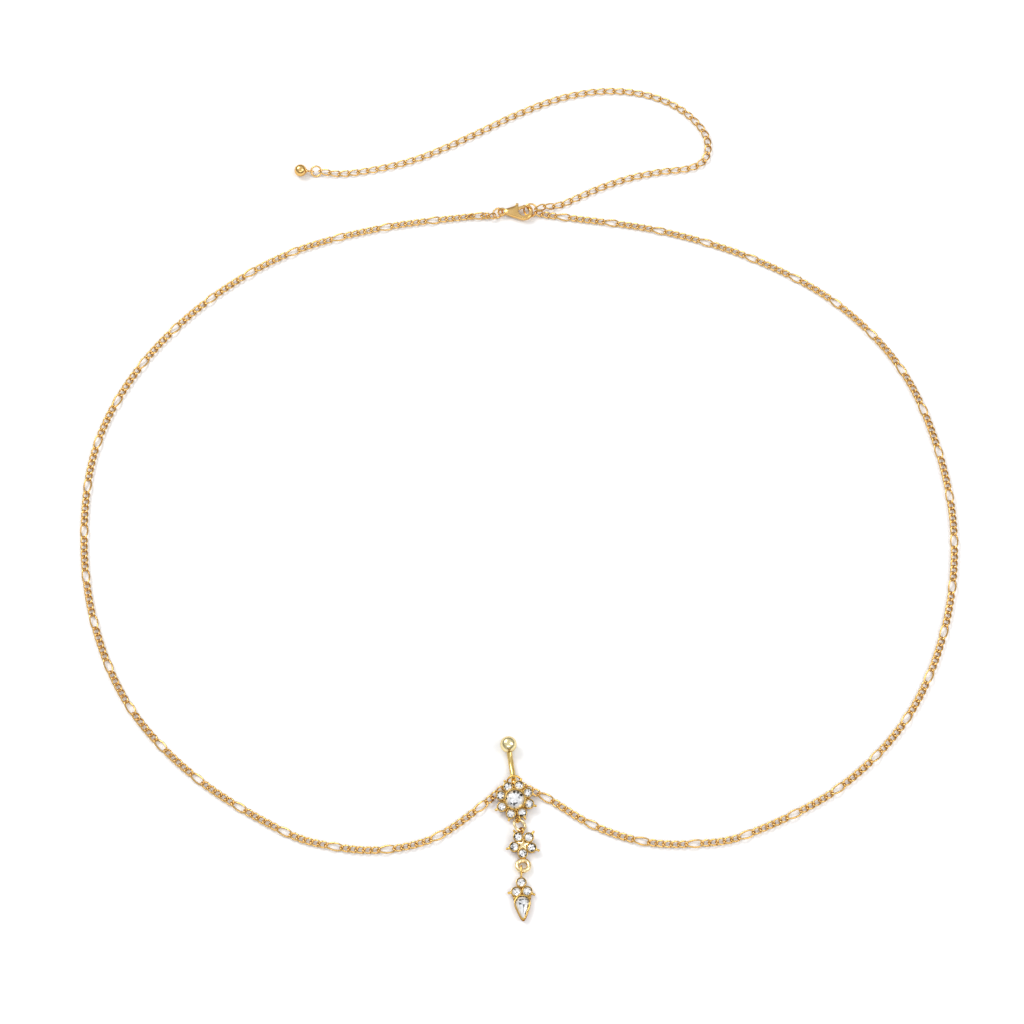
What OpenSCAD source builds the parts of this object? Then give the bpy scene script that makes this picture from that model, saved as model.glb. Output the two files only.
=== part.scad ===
/* [Waist chain] */
// Width of the figaro chain
chain_w = 2.5; // [1.8:0.1:2.9]
// Thickness of the figaro chain as it lies
chain_t = 1.3; // [0.9:0.1:1.4]

/* [Extender chain] */
// Wire of an extender link
ext_wire = 0.5; // [0.36:0.02:0.56]
// Outer width of an extender link
ext_w = 2.5; // [2.3:0.05:2.8]
// Length of chain that one link makes, before it is fitted to the route
ext_pitch = 3.25; // [2.9:0.05:3.8]
// Play between a link's wire and the next one's
link_play = 0.3; // [0.24:0.02:0.4]

/* [Rings] */
// Wire of the clasp ring, the end ring and the tag ring
ring_wire = 0.6; // [0.4:0.05:0.65]
// Outer width of the clasp ring
clasp_ring_w = 4; // [3.9:0.1:4.6]
// Outer width of the end ring that the claw holds
end_ring_w = 5; // [4.9:0.1:5.4]
// Outer width of the tag ring
tag_ring_w = 4; // [3.8:0.1:4.6]
// Outer width of the navel ring
navel_ring_w = 4.8; // [4.6:0.1:5.4]
// Wire of the ring between the two flowers
drop_ring_wire = 0.8; // [0.6:0.05:0.85]
// Outer width of the ring between the two flowers
drop_ring_w = 4.7; // [4.5:0.1:5.2]

/* [Clasp] */
// Outer radius of the claw
claw_r = 3; // [2.8:0.1:3.4]
// Radius of the opening in the claw
claw_hole_r = 1.8; // [1.6:0.05:1.95]
// Length from the eye's centre to the claw's centre
clasp_l = 7.4; // [7:0.1:8.4]
// Thickness of the clasp's body
clasp_t = 1.6; // [1.4:0.1:1.7]
// Outer width of the clasp's eye
clasp_eye_w = 3; // [2.9:0.1:3.4]
// Thickness of the clasp's lever
lever_t = 0.7; // [0.5:0.05:0.8]
// Width of the clasp's lever
lever_w = 1; // [0.8:0.05:1.1]
// Play round the lever, and round its pin
lever_play = 0.1; // [0.06:0.01:0.12]
// Diameter of the lever's pin
lever_pin_d = 0.6; // [0.5:0.05:0.7]

/* [Navel bar] */
// Diameter of the bar
bar_d = 1.6; // [1.4:0.1:1.8]
// Radius of the bar's bend
bar_bend_r = 14; // [13:0.5:16]
// Length of the bar between the ball's centre and its round tip, along the chord
bar_l = 12.7; // [12.5:0.1:13.2]
// Diameter of the ball that unscrews
ball_d = 5; // [4.6:0.1:6]
// Diameter of the post that the ball turns on
post_d = 1.2; // [1:0.05:1.3]
// Length of that post inside the ball
post_l = 2.8; // [2:0.1:3.2]
// Radial play of the post in the ball
post_play = 0.05; // [0.03:0.01:0.08]

/* [Stones] */
// Diameter of the large stone
big_stone_d = 5.7; // [5:0.1:6.4]
// Diameter of the small stones in the large flower
flower_stone_d = 2.5; // [2.2:0.05:2.7]
// Diameter of the small stones in the star flower
star_stone_d = 2.5; // [2.2:0.05:2.7]
// Diameter of the three small stones in the drop
drop_stone_d = 2.6; // [2.2:0.05:2.7]
// Width of the pear stone
pear_w = 4.2; // [3.8:0.1:4.6]
// Length of the pear stone
pear_l = 7; // [6.4:0.1:7.6]
// Space between a stone and its cup
stone_gap = 0.06; // [0.04:0.01:0.1]
// Metal left behind a stone
back_t = 0.3; // [0.2:0.05:0.4]

/* [Settings] */
// Wall of a stone's cup
cup_wall = 0.25; // [0.2:0.01:0.3]
// Wall of the pear stone's cup
pear_wall = 0.35; // [0.25:0.05:0.5]
// Height of a small stone's cup
cup_h = 1.7; // [1.6:0.05:2]
// Height of the large stone's cup above the back of its flower
big_cup_h = 2.5; // [2.4:0.1:2.8]
// Depth that the small cups' walls are sunk into the large stone's cup
cup_merge = 0.22; // [0.1:0.02:0.24]
// Space between the cups of the star flower
star_space = 0.12; // [0.05:0.01:0.3]
// Thickness of the plate behind the cups
plate_t = 0.8; // [0.6:0.05:1]
// Diameter of the outer prongs
prong_d = 0.7; // [0.5:0.05:0.8]
// Length that a prong of the large flower stands beyond its cup
prong_l = 0.5; // [0.3:0.05:0.8]
// Length that a prong of the star flower or the drop stands beyond its cup
star_prong_l = 0.7; // [0.4:0.05:0.9]
// Diameter of the bead prongs round the large stone
bead_d = 0.7; // [0.5:0.05:0.75]
// Wire of the small loops under the large flower and over the star
loop_wire = 0.6; // [0.5:0.05:0.65]
// Outer width of those loops
loop_w = 2.5; // [2.4:0.05:2.8]
// Wire of the heavy loop under the star flower
heavy_wire = 0.9; // [0.7:0.05:1]
// Outer width of the heavy loop
heavy_w = 4.95; // [4.6:0.05:5.4]
// Wire of the drop's eyelet
eyelet_wire = 0.65; // [0.5:0.05:0.7]
// Outer length of the drop's eyelet
eyelet_l = 3.6; // [3.5:0.05:3.8]

/* [Tag] */
// Diameter of the ball on the extender's free end
tag_ball_d = 4; // [3.4:0.1:5]
// Diameter of the tag ball's neck
tag_neck_d = 0.6; // [0.5:0.05:0.8]
// Length of that neck between the ball and the eye
tag_neck_l = 0.5; // [0.4:0.1:1]
// Diameter of the collar on the tag ball
tag_collar_d = 1.5; // [1.2:0.1:1.8]
// Outer width of the tag ball's eye
tag_eye_w = 2.2; // [2.1:0.1:2.4]
// Wire of the tag ball's eye
tag_eye_wire = 0.5; // [0.4:0.05:0.55]

/* [Hidden] */
gold = [0.85, 0.62, 0.22];
pale_gold = [0.86, 0.76, 0.42];
crystal = [0.88, 0.91, 0.95];

// Chosen points of the left strand, from the clasp ring to the navel ring
LEFT_ROUTE = [
    [-9.4, 99.2, 1.1], [-14.3, 98.5, 0.68], [-46, 93.7, 0.68], [-76.5, 83.6, 0.68],
    [-102.5, 65.3, 0.68], [-123, 41, 0.68], [-135.5, 12.3, 0.68], [-137.8, -19.5, 0.68],
    [-132.8, -51, 0.68], [-120, -80, 0.68], [-98.7, -103.2, 0.68], [-71.9, -120.5, 0.68],
    [-56.5, -125.6, 0.68], [-41, -126.8, 0.68], [-25.4, -123, 0.68], [-12.1, -113.5, 0.68],
    [-6.8, -108.4, 0.7], [-4.5, -106.2, 1.15]
];
// Chosen points of the right strand, from the end ring to the navel ring
RIGHT_ROUTE = [
    [7.4, 98.6, 1], [11, 98.4, 0.68], [16.3, 97.9, 0.68], [47.7, 92.6, 0.68], [78, 81.8, 0.68],
    [104.8, 64.7, 0.68], [124.7, 40, 0.68], [135.1, 9.7, 0.68], [138.2, -22.1, 0.68],
    [133, -54.3, 0.68], [119.8, -83.6, 0.68], [98, -106.6, 0.68], [70, -121.6, 0.68],
    [54, -124.8, 0.68], [38.1, -124.2, 0.68], [23, -119.1, 0.68], [9.5, -110.5, 0.68],
    [4.4, -107.5, 0.75], [1.9, -106, 1.15]
];
// Chosen points of the extender, from the end ring to the tag ring
EXTENDER_ROUTE = [
    [6, 100.2, 2.4], [9, 101.6, 1.8], [12.2, 102.2, 0.95], [15.2, 103.2, 0.7], [20.3, 105.9, 0.7],
    [29.2, 110.3, 0.7], [38.5, 113.8, 0.7], [48, 116, 0.7], [57.7, 117.4, 0.7],
    [63, 120.6, 0.7], [64.4, 126.8, 0.7], [62.6, 133, 0.7], [56.2, 140.6, 0.7],
    [47.9, 145.7, 0.7], [38.4, 148.3, 0.7], [28.5, 148.6, 0.7], [18.9, 147, 0.7],
    [9.5, 143.8, 0.7], [-2.4, 138, 0.7], [-14, 131.4, 0.7], [-25.5, 125.2, 0.7],
    [-37.2, 120, 0.7], [-50, 116.6, 0.7], [-60, 115.2, 0.75], [-66.6, 115.8, 1.45]
];
// Rings of a strand's tube along each stretch of its route, and its sides
tube_rings = 2;
tube_sides = 8;
// Samples of the extender's route along each stretch
route_samples = 10;
// Sides of a link seen from above, sides of its wire, squareness and half of its twist
link_sides = 12;
link_wire_sides = 5;
link_square = 2.5;
link_twist = 45;

// Places of the pieces that the chains hang on, from above
clasp_at = [2, 99.6];
tag_at = [-67.9, 115.8];
navel_at = [-1.35, -105.2];
flower_at = [-1.1, -111];
// Height of the clasp's middle plane, which lies on its two rings
clasp_z = 1.6;
// Shift of the clasp ring from the eye's centre towards -Y, and of its inner side past it
clasp_ring_shift = 0.6;
clasp_ring_in = 0.3;
// Shift of the end ring from the claw's middle line
end_ring_shift = 0.4;
// Lean of the rings: turn about the upright, then tilt from lying flat
clasp_ring_turn = 30;
clasp_ring_tilt = 60;
end_ring_tilt = 52;
tag_ring_tilt = 40;
tag_eye_tilt = -50;
tag_collar_l = 0.6;
navel_ring_tilt = 45;
drop_ring_roll = 34;
flower_loop_roll = -53;
star_loop_roll = -45;
// Turns of the hanging pieces about the upright, and the tilts of the settings
flower_turn = 6;
flower_loop_turn = 8;
flower_tilt = 12;
star_tilt = 9;
heavy_tilt = -9;
ring_turn = 16;
star_turn = -3;
star_lean = 11;
heavy_turn = 0;
hook_turn = -22;
drop_turn = 3;
// Counts of stones
flower_stones_n = 8;
star_stones_n = 5;
// Play where one ring hangs in another
hang_play = 0.17;
eyelet_play = 0.25;
// Distance of the star's upper loop beyond the cups that it is soldered to
star_loop_out = 0.5;
// Distance of the flower's lower loop beyond its cups, and lift of the star's loop
flower_loop_out = 0.17;
star_loop_lift = 0.1;
// Cups of the large flower that have a prong, counted from +X
flower_prongs = [1, 2, 4, 5, 6, 7];
// Depth to which two soldered pieces are sunk into each other
solder = 0.2;
// Shares of a cut stone's size: table width, crown height, girdle height, pavilion depth
table_share = 0.56;
crown_share = 0.16;
girdle_share = 0.03;
pavilion_share = 0.4;
pear_pavilion_share = 0.3;
culet_share = 0.08;
facet_n = 8;
pear_facet_n = 12;
// Lever's pin, knob and tip from the claw's centre, as shares of the claw's outer radius
lever_pin = [-1.2, 0.18] * claw_r;
lever_knob = [-0.77, 0.95] * claw_r;
lever_tip_angle = 76;

// Catmull-Rom curve through chosen points
function blend(a, b, c, d, t) =
    0.5 * (2 * b + (c - a) * t + (2 * a - 5 * b + 4 * c - d) * t * t
    + (3 * b - a - 3 * c + d) * t * t * t);
function stretch(p, i, t) =
    let (n = len(p))
    blend(i > 0 ? p[i - 1] : 2 * p[0] - p[1], p[i], p[i + 1],
        i + 2 < n ? p[i + 2] : 2 * p[n - 1] - p[n - 2], t);
function curve(p, samples) = concat(
    [for (i = [0 : len(p) - 2], k = [0 : samples - 1]) stretch(p, i, k / samples)],
    [p[len(p) - 1]]);
function unit(v) = v / norm(v);
function level_side(d) = unit(cross([0, 0, 1], d));
function run_lengths(p, i = 0, sum = 0) =
    i >= len(p) ? [] : let (s = i == 0 ? 0 : sum + norm(p[i] - p[i - 1]))
    concat([s], run_lengths(p, i + 1, s));
function at_length(p, runs, s) =
    [for (k = [0 : 2]) lookup(s, [for (i = [0 : len(p) - 1]) [runs[i], p[i][k]]])];

// Faces of a tube of n rings with m sides, open or closed into a loop
function tube_faces(n, m, loop, first = 0) = concat(
    [for (i = [0 : n - (loop ? 1 : 2)], j = [0 : m - 1])
        let (a = first + i * m, b = first + ((i + 1) % n) * m, k = (j + 1) % m)
        each [[a + j, b + j, b + k], [a + j, b + k, a + k]]],
    loop ? [] : [[for (j = [0 : m - 1]) first + j],
        [for (j = [m - 1 : -1 : 0]) first + (n - 1) * m + j]]);

// Plain flat tube that holds the room of a figaro strand
module strand_tube(route) {
    path = curve(route, tube_rings);
    n = len(path);
    points = [for (i = [0 : n - 1])
        let (d = unit(path[min(i + 1, n - 1)] - path[max(i - 1, 0)]),
            side = level_side(d), up = cross(d, side))
        for (j = [0 : tube_sides - 1])
            let (a = 360 * (j + 0.5) / tube_sides, grow = 1 / cos(180 / tube_sides))
            path[i] + side * cos(a) * grow * chain_w / 2 + up * sin(a) * grow * chain_t / 2];
    polyhedron(points, tube_faces(n, tube_sides, false), convexity = 10);
}

// A point on a twisted oval link's wire, about its middle, along X
function oval_power(v) = sign(v) * pow(abs(v), 2 / link_square);
function link_centre(half_l, half_w, a) =
    let (x = half_l * oval_power(cos(a)), w = half_w * oval_power(sin(a)),
        roll = link_twist * x / half_l)
    [x, w * cos(roll), w * sin(roll)];
function link_points(half_l, half_w, wire) =
    [for (i = [0 : link_sides - 1])
        let (a = 360 * i / link_sides, step = 360 / link_sides,
            c = link_centre(half_l, half_w, a),
            d = unit(link_centre(half_l, half_w, a + step / 2)
                - link_centre(half_l, half_w, a - step / 2)),
            out = unit([c.x / half_l, c.y / half_w, c.z / half_w]),
            flat = unit(out - d * (out * d)), up = cross(d, flat))
        for (j = [0 : link_wire_sides - 1])
            let (b = 360 * j / link_wire_sides)
            c + (flat * cos(b) + up * sin(b)) * wire / 2];
function placed(points, middle, d) =
    let (side = level_side(d), up = cross(d, side))
    [for (p = points) middle + d * p.x + side * p.y + up * p.z];

module ring(width, wire) {
    rotate_extrude($fn = 48) translate([(width - wire) / 2, 0]) circle(d = wire, $fn = 24);
}

// Left strand of the figaro chain, held as one plain tube
module chain_left() {
    color(gold) strand_tube(LEFT_ROUTE);
}

// Right strand of the figaro chain, held as one plain tube
module chain_right() {
    color(gold) strand_tube(RIGHT_ROUTE);
}

// Extender of interlocking twisted links, each placed between two points of the route
module extender() {
    path = curve(EXTENDER_ROUTE, route_samples);
    runs = run_lengths(path);
    whole = runs[len(runs) - 1];
    count = round(whole / ext_pitch);
    pitch = whole / count;
    half_l = (pitch + ext_wire + link_play) / 2;
    shape = link_points(half_l, (ext_w - ext_wire) / 2, ext_wire);
    joints = [for (i = [0 : count]) at_length(path, runs, i * pitch)];
    points = [for (i = [0 : count - 1])
        each placed(shape, (joints[i] + joints[i + 1]) / 2, unit(joints[i + 1] - joints[i]))];
    faces = [for (i = [0 : count - 1])
        each tube_faces(link_sides, link_wire_sides, true, i * link_sides * link_wire_sides)];
    color(gold) polyhedron(points, faces, convexity = 10);
}

// Jump ring between the left strand and the clasp's eye
module clasp_ring() {
    z = (clasp_ring_w - ring_wire) / 2 * sin(clasp_ring_tilt) + ring_wire / 2;
    back = (clasp_ring_w - ring_wire) / 2 - clasp_ring_in;
    color(gold)
        translate([clasp_at.x - clasp_l - back, clasp_at.y - clasp_ring_shift, z])
        rotate([0, 0, clasp_ring_turn]) rotate([clasp_ring_tilt, 0, 0])
        ring(clasp_ring_w, ring_wire);
}

// Outline of the clasp: claw, tapering back and neck, before the mouth is cut
module clasp_outline() {
    circle(r = claw_r, $fn = 64);
    polygon([
        [-clasp_l + clasp_eye_w / 3, -0.8], [-0.35 * claw_r, -0.935 * claw_r],
        [-0.35 * claw_r, 0.935 * claw_r], [-clasp_l + clasp_eye_w / 3, 0.8]
    ]);
}

// Outline of the lever: boss round its pin, gate up to the claw's tip, and thumb knob
module lever_outline() {
    tip_r = (claw_r + claw_hole_r) / 2;
    tip = tip_r * [cos(lever_tip_angle), sin(lever_tip_angle)];
    gate = tip - lever_pin;
    slope = atan2(gate.y, gate.x);
    room = claw_r * cos(lever_tip_angle) - lever_pin.x - lever_play;
    gate_l = (room - lever_w / 2 * sin(slope)) / cos(slope);
    translate(lever_pin) circle(d = lever_pin_d + 2 * lever_w * 0.45, $fn = 32);
    translate(lever_pin) rotate(slope)
        translate([0, -lever_w / 2]) square([gate_l, lever_w]);
    translate(lever_knob) circle(d = lever_w, $fn = 32);
    knob = lever_knob - lever_pin;
    translate(lever_pin) rotate(atan2(knob.y, knob.x))
        translate([0, -lever_w * 0.4]) square([norm(knob), lever_w * 0.8]);
}

// Lobster clasp's body: a flat claw with an open mouth, a slot for the lever and an eye
module clasp_body() {
    mouth_x = claw_r * cos(lever_tip_angle);
    slot_t = lever_t + 2 * lever_play;
    color(gold) translate([clasp_at.x, clasp_at.y, clasp_z]) {
        difference() {
            linear_extrude(clasp_t, center = true) clasp_outline();
            cylinder(h = clasp_t + 2, r = claw_hole_r, center = true, $fn = 64);
            linear_extrude(clasp_t + 2, center = true) polygon([
                [mouth_x, claw_hole_r * 0.4], [mouth_x, claw_r * 1.2],
                [-0.62 * claw_r, claw_r * 1.2], [-0.62 * claw_r, -0.1 * claw_r]
            ]);
            linear_extrude(slot_t, center = true) polygon([
                [-1.75 * claw_r, -0.12 * claw_r], [-0.3 * claw_r, -0.32 * claw_r],
                [mouth_x, claw_hole_r * 0.4], [mouth_x, claw_r * 1.2], [-1.75 * claw_r, claw_r * 1.2]
            ]);
        }
        translate([lever_pin.x, lever_pin.y, 0])
            cylinder(h = clasp_t - 0.1, d = lever_pin_d, center = true, $fn = 32);
        translate([-clasp_l, 0, 0]) difference() {
            cylinder(h = clasp_t * 0.55, d = clasp_eye_w, center = true, $fn = 48);
            cylinder(h = clasp_t + 2, d = clasp_eye_w - 1.3, center = true, $fn = 48);
        }
    }
}

// Lever that closes the mouth, on its pin
module clasp_lever() {
    color(gold) translate([clasp_at.x, clasp_at.y, clasp_z]) difference() {
        linear_extrude(lever_t, center = true) lever_outline();
        translate([lever_pin.x, lever_pin.y, 0])
            cylinder(h = lever_t + 2, d = lever_pin_d + lever_play, center = true, $fn = 32);
    }
}

// Jump ring that the claw holds, with the right strand and the extender on it
module end_ring() {
    z = (end_ring_w - ring_wire) / 2 * sin(end_ring_tilt) + ring_wire / 2;
    color(gold)
        translate([clasp_at.x + (end_ring_w - ring_wire) / 2, clasp_at.y + end_ring_shift, z])
        rotate([end_ring_tilt, 0, 0]) ring(end_ring_w, ring_wire);
}

// Jump ring on the extender's free end
module tag_ring() {
    z = (tag_ring_w - ring_wire) / 2 * sin(tag_ring_tilt) + ring_wire / 2;
    color(gold) translate([tag_at.x, tag_at.y, z])
        rotate([tag_ring_tilt, 0, 0]) ring(tag_ring_w, ring_wire);
}

// Ball with a neck and an eye, lying on the floor beyond the tag ring
module tag_ball() {
    eye_x = tag_at.x - (tag_ring_w - ring_wire) / 2;
    eye_z = (tag_ring_w - ring_wire) / 2 * sin(tag_ring_tilt) + ring_wire / 2;
    reach = (tag_eye_w + tag_ball_d) / 2 + tag_neck_l;
    color(gold) translate([eye_x, tag_at.y, eye_z])
        rotate([0, asin((tag_ball_d / 2 - eye_z) / reach), 0]) {
            rotate([tag_eye_tilt, 0, 0]) ring(tag_eye_w, tag_eye_wire);
            translate([-reach, 0, 0]) rotate([0, 90, 0]) {
                sphere(d = tag_ball_d, $fn = 48);
                cylinder(h = reach - (tag_eye_w - tag_eye_wire) / 2, d = tag_neck_d, $fn = 32);
                translate([0, 0, tag_ball_d * 0.42])
                    cylinder(h = tag_collar_l, d = tag_collar_d, $fn = 32);
            }
        }
}

// A cut stone's outline: round, or a pear with its tip towards -Y
function round_outline(d) = [for (i = [0 : 2 * facet_n - 1])
    d / 2 * [cos(180 * i / facet_n), sin(180 * i / facet_n)]];
function pear_outline(w, l) =
    [for (i = [0 : 2 * pear_facet_n - 1])
        let (a = 180 * i / pear_facet_n, s = min(0, sin(a)))
        [w / 2 * cos(a) * (1 - 0.15 * s * s), w / 2 * sin(a) + (l - w) * pow(s, 3)]];

// A stone with a flat table, 3 crown facets for each of its mains, a girdle and a pavilion
module cut_stone(outline, width, pavilion) {
    n = len(outline);
    m = n / 2;
    girdle = width * girdle_share;
    points = concat(
        [for (k = [0 : m - 1]) [outline[2 * k].x * table_share, outline[2 * k].y * table_share,
            girdle + width * crown_share]],
        [for (p = outline) [p.x, p.y, girdle]],
        [for (p = outline) [p.x, p.y, 0]],
        [[0, 0, -pavilion]]);
    crown = [for (k = [0 : m - 1]) let (g = m + 2 * k, back = m + (2 * k + n - 1) % n,
        next = (k + 1) % m) each [[k, g, back], [k, g + 1, g], [k, next, g + 1]]];
    band = [for (i = [0 : n - 1]) let (j = (i + 1) % n)
        each [[m + i, m + j, m + n + j], [m + i, m + n + j, m + n + i]]];
    below = [for (i = [0 : n - 1]) [m + n + i, m + n + (i + 1) % n, m + 2 * n]];
    polyhedron(points, concat([[for (k = [m - 1 : -1 : 0]) k]], crown, band, below));
}

// Height of a stone's girdle in a cup of this height, and its depth below the girdle
function seat_z(height, d) = height - d * crown_share;
function depth(height, d, share) =
    min(d * share, seat_z(height, d) - back_t - 2 * stone_gap);

// A round stone, in a cup of this height
module round_stone(d, height) {
    translate([0, 0, seat_z(height, d)])
        cut_stone(round_outline(d), d, depth(height, d, pavilion_share));
}

// Room for a round stone: a straight mouth over a cone
module cup_hollow(d, height) {
    seat = seat_z(height, d) - stone_gap;
    deep = depth(height, d, pavilion_share) + stone_gap;
    mouth_d = d + 2 * stone_gap;
    translate([0, 0, seat]) cylinder(h = height, d = mouth_d, $fn = 48);
    translate([0, 0, seat - deep])
        cylinder(h = deep, d1 = mouth_d * culet_share, d2 = mouth_d, $fn = 48);
}

// Round prong that lies along X and ends in a round tip
module prong(length) {
    rotate([0, 90, 0]) cylinder(h = length, d = prong_d, $fn = 24);
    translate([length, 0, 0]) sphere(d = prong_d, $fn = 24);
}

function cup_w(d) = d + 2 * stone_gap + 2 * cup_wall;

// The large flower: radius of its ring of stones, and its height over the floor
flower_r = (cup_w(big_stone_d) + cup_w(flower_stone_d)) / 2 - cup_merge;
flower_reach = flower_r + cup_w(flower_stone_d) / 2;
flower_z = (flower_reach * 0.95) * sin(flower_tilt) + 0.05;

module at_flower() {
    translate([flower_at.x, flower_at.y, flower_z])
        rotate([flower_tilt, 0, 0]) rotate([0, 0, flower_turn]) children();
}

// The hanging pieces below the flower, each found from the one above it
function heading(turn) = [sin(turn), -cos(turn), 0];
hang_z = (drop_ring_w - drop_ring_wire) / 2 * sin(drop_ring_roll) + drop_ring_wire / 2 + 0.02;
loop_r = (loop_w - loop_wire) / 2;
drop_ring_r = (drop_ring_w - drop_ring_wire) / 2;
hook = (loop_wire + drop_ring_wire) / 2 + hang_play;
flower_loop = [flower_at.x, flower_at.y, hang_z]
    + heading(flower_loop_turn) * (flower_reach + flower_loop_out);
drop_ring_at = flower_loop + heading(flower_loop_turn) * (loop_r - hook)
    + heading(ring_turn) * drop_ring_r;
star_heading = star_turn + star_lean;
star_loop = drop_ring_at + heading(ring_turn) * (drop_ring_r - hook)
    + heading(star_heading) * loop_r;

// The star flower: radius of its ring of stones, and its height over the floor
star_step = 180 / star_stones_n;
star_r = (cup_w(star_stone_d) + star_space) / 2 / sin(star_step);
star_reach = star_r + cup_w(star_stone_d) / 2;
star_z = star_reach * sin(star_tilt) + 0.05;
star_loop_y = star_r * cos(star_step) + cup_w(star_stone_d) / 2 + star_loop_out;
star_at = star_loop + heading(star_heading) * star_loop_y;

// The heavy loop on the star's foot lies with its lower end over the drop's eyelet
heavy_r = (heavy_w - heavy_wire) / 2;
eyelet_r = heavy_wire / 2 + eyelet_play + eyelet_wire / 2;
eyelet_z = eyelet_r + eyelet_wire / 2 + 0.02;
heavy_at = [star_at.x, star_at.y, eyelet_z + heavy_r * sin(heavy_tilt)]
    + heading(heavy_turn) * (star_reach + heavy_w / 2 - solder);
heavy_foot = heavy_at + heading(hook_turn) * heavy_r * cos(heavy_tilt);
eyelet_straight = eyelet_l - 2 * eyelet_r - eyelet_wire;
eyelet_at = [heavy_foot.x, heavy_foot.y, eyelet_z]
    + heading(drop_turn) * (eyelet_straight / 2 + eyelet_r
        - (heavy_wire + eyelet_wire) / 2 - eyelet_play);
drop_cup = cup_w(drop_stone_d);
drop_at = [eyelet_at.x, eyelet_at.y, 0.02]
    + heading(drop_turn) * (eyelet_l / 2 + drop_cup / 2 - cup_wall * 0.8);
drop_row_x = drop_cup / 2 + 0.03;
drop_row_y = -sqrt(pow(drop_cup + 0.1, 2) - pow(drop_row_x, 2));
pear_cup_w = pear_w + 2 * stone_gap + 2 * pear_wall;
pear_y = drop_row_y - sqrt(pow((pear_cup_w + drop_cup) / 2 - solder, 2) - pow(drop_row_x, 2));

// Puts its children at each stone of a ring of n, the first at this angle
module around(n, r, first) {
    for (i = [0 : n - 1])
        rotate([0, 0, first + 360 * i / n]) translate([r, 0, 0]) children();
}

// Bar's chord, seen from the side: its round tip in the navel ring, its ball end and its bend
bar_heading = 8;
bar_tip = [navel_at.x + 0.02, navel_at.y - 0.48];
bar_start = bar_tip - bar_l * [sin(bar_heading), -cos(bar_heading)];
bar_half = bar_l / 2;
bar_end_angle = asin(bar_half / bar_bend_r);
ball_z = ball_d / 2;

// Puts its children in the bar's plane: X along the chord from the ball, Z up
module along_bar() {
    translate([bar_start.x, bar_start.y, ball_z])
        rotate([0, 0, bar_heading - 90]) children();
}

// Curved bar with the threaded post, its round tip and the large flower soldered on it
module navel_bar() {
    start_angle = bar_end_angle - (ball_d / 2 + stone_gap) / bar_bend_r * 180 / PI;
    color(gold) {
        along_bar() {
            translate([bar_half, 0, bar_bend_r * cos(bar_end_angle)]) {
                rotate([90, 0, 0]) rotate([0, 0, -90 - start_angle])
                    rotate_extrude(angle = start_angle + bar_end_angle, $fn = 96)
                    translate([bar_bend_r, 0]) circle(d = bar_d, $fn = 32);
            }
            translate([bar_l, 0, 0]) sphere(d = bar_d, $fn = 32);
            rotate([0, 90 + bar_end_angle, 0])
                translate([0, 0, ball_d / 2 - post_l + 2 * post_play])
                cylinder(h = post_l + 0.2, d = post_d, $fn = 32);
        }
        at_flower() {
            difference() {
                union() {
                    cylinder(h = big_cup_h, d = cup_w(big_stone_d), $fn = 64);
                    cylinder(h = plate_t, r = flower_r, $fn = 64);
                    around(flower_stones_n, flower_r, 180 / flower_stones_n)
                        cylinder(h = cup_h, d = cup_w(flower_stone_d), $fn = 48);
                    for (i = flower_prongs)
                        rotate([0, 0, (i + 0.5) * 360 / flower_stones_n])
                            translate([flower_reach - solder, 0, cup_h - prong_d * 0.7])
                            prong(prong_l + solder);
                    around(flower_stones_n, flower_r - cup_w(flower_stone_d) / 2 + 0.15, 0)
                        translate([0, 0, plate_t / 2])
                        cylinder(h = cup_h - plate_t / 2, d = bead_d, $fn = 24);
                    around(flower_stones_n, flower_r - cup_w(flower_stone_d) / 2 + 0.15, 0)
                        translate([0, 0, cup_h]) sphere(d = bead_d, $fn = 24);
                }
                cup_hollow(big_stone_d, big_cup_h);
                around(flower_stones_n, flower_r, 180 / flower_stones_n)
                    cup_hollow(flower_stone_d, cup_h);
            }
        }
        translate(flower_loop) rotate([0, 0, flower_loop_turn])
            rotate([0, flower_loop_roll, 0]) ring(loop_w, loop_wire);
    }
}

// Ball with a blind bore for the post
module bar_ball() {
    color(pale_gold) along_bar() rotate([0, 90 + bar_end_angle, 0]) difference() {
        sphere(d = ball_d, $fn = 64);
        translate([0, 0, ball_d / 2 - post_l])
            cylinder(h = ball_d, d = post_d + 2 * post_play, $fn = 32);
    }
}

// Ring round the bar that carries both strands
module navel_ring() {
    z = (navel_ring_w - ring_wire) / 2 * sin(navel_ring_tilt) + ring_wire / 2;
    color(gold) translate([navel_at.x, navel_at.y, z])
        rotate([navel_ring_tilt, 0, 0]) ring(navel_ring_w, ring_wire);
}

// Large round stone of the large flower
module big_stone() {
    color(crystal) at_flower() round_stone(big_stone_d, big_cup_h);
}

// Eight small stones of the large flower
module flower_stones() {
    color(crystal) at_flower() around(flower_stones_n, flower_r, 180 / flower_stones_n)
        round_stone(flower_stone_d, cup_h);
}

module at_star() {
    translate([star_at.x, star_at.y, star_z])
        rotate([star_tilt, 0, 0]) rotate([0, 0, star_turn]) children();
}

module at_drop() {
    translate(drop_at) rotate([0, 0, drop_turn]) children();
}

// Puts its children at each of the drop's three small stones
module drop_row() {
    children();
    for (side = [-1, 1])
        translate([side * drop_row_x, drop_row_y, 0]) children();
}

// Jump ring between the two flowers
module drop_ring() {
    color(gold) translate(drop_ring_at) rotate([0, 0, ring_turn]) rotate([0, drop_ring_roll, 0])
        ring(drop_ring_w, drop_ring_wire);
}

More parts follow.
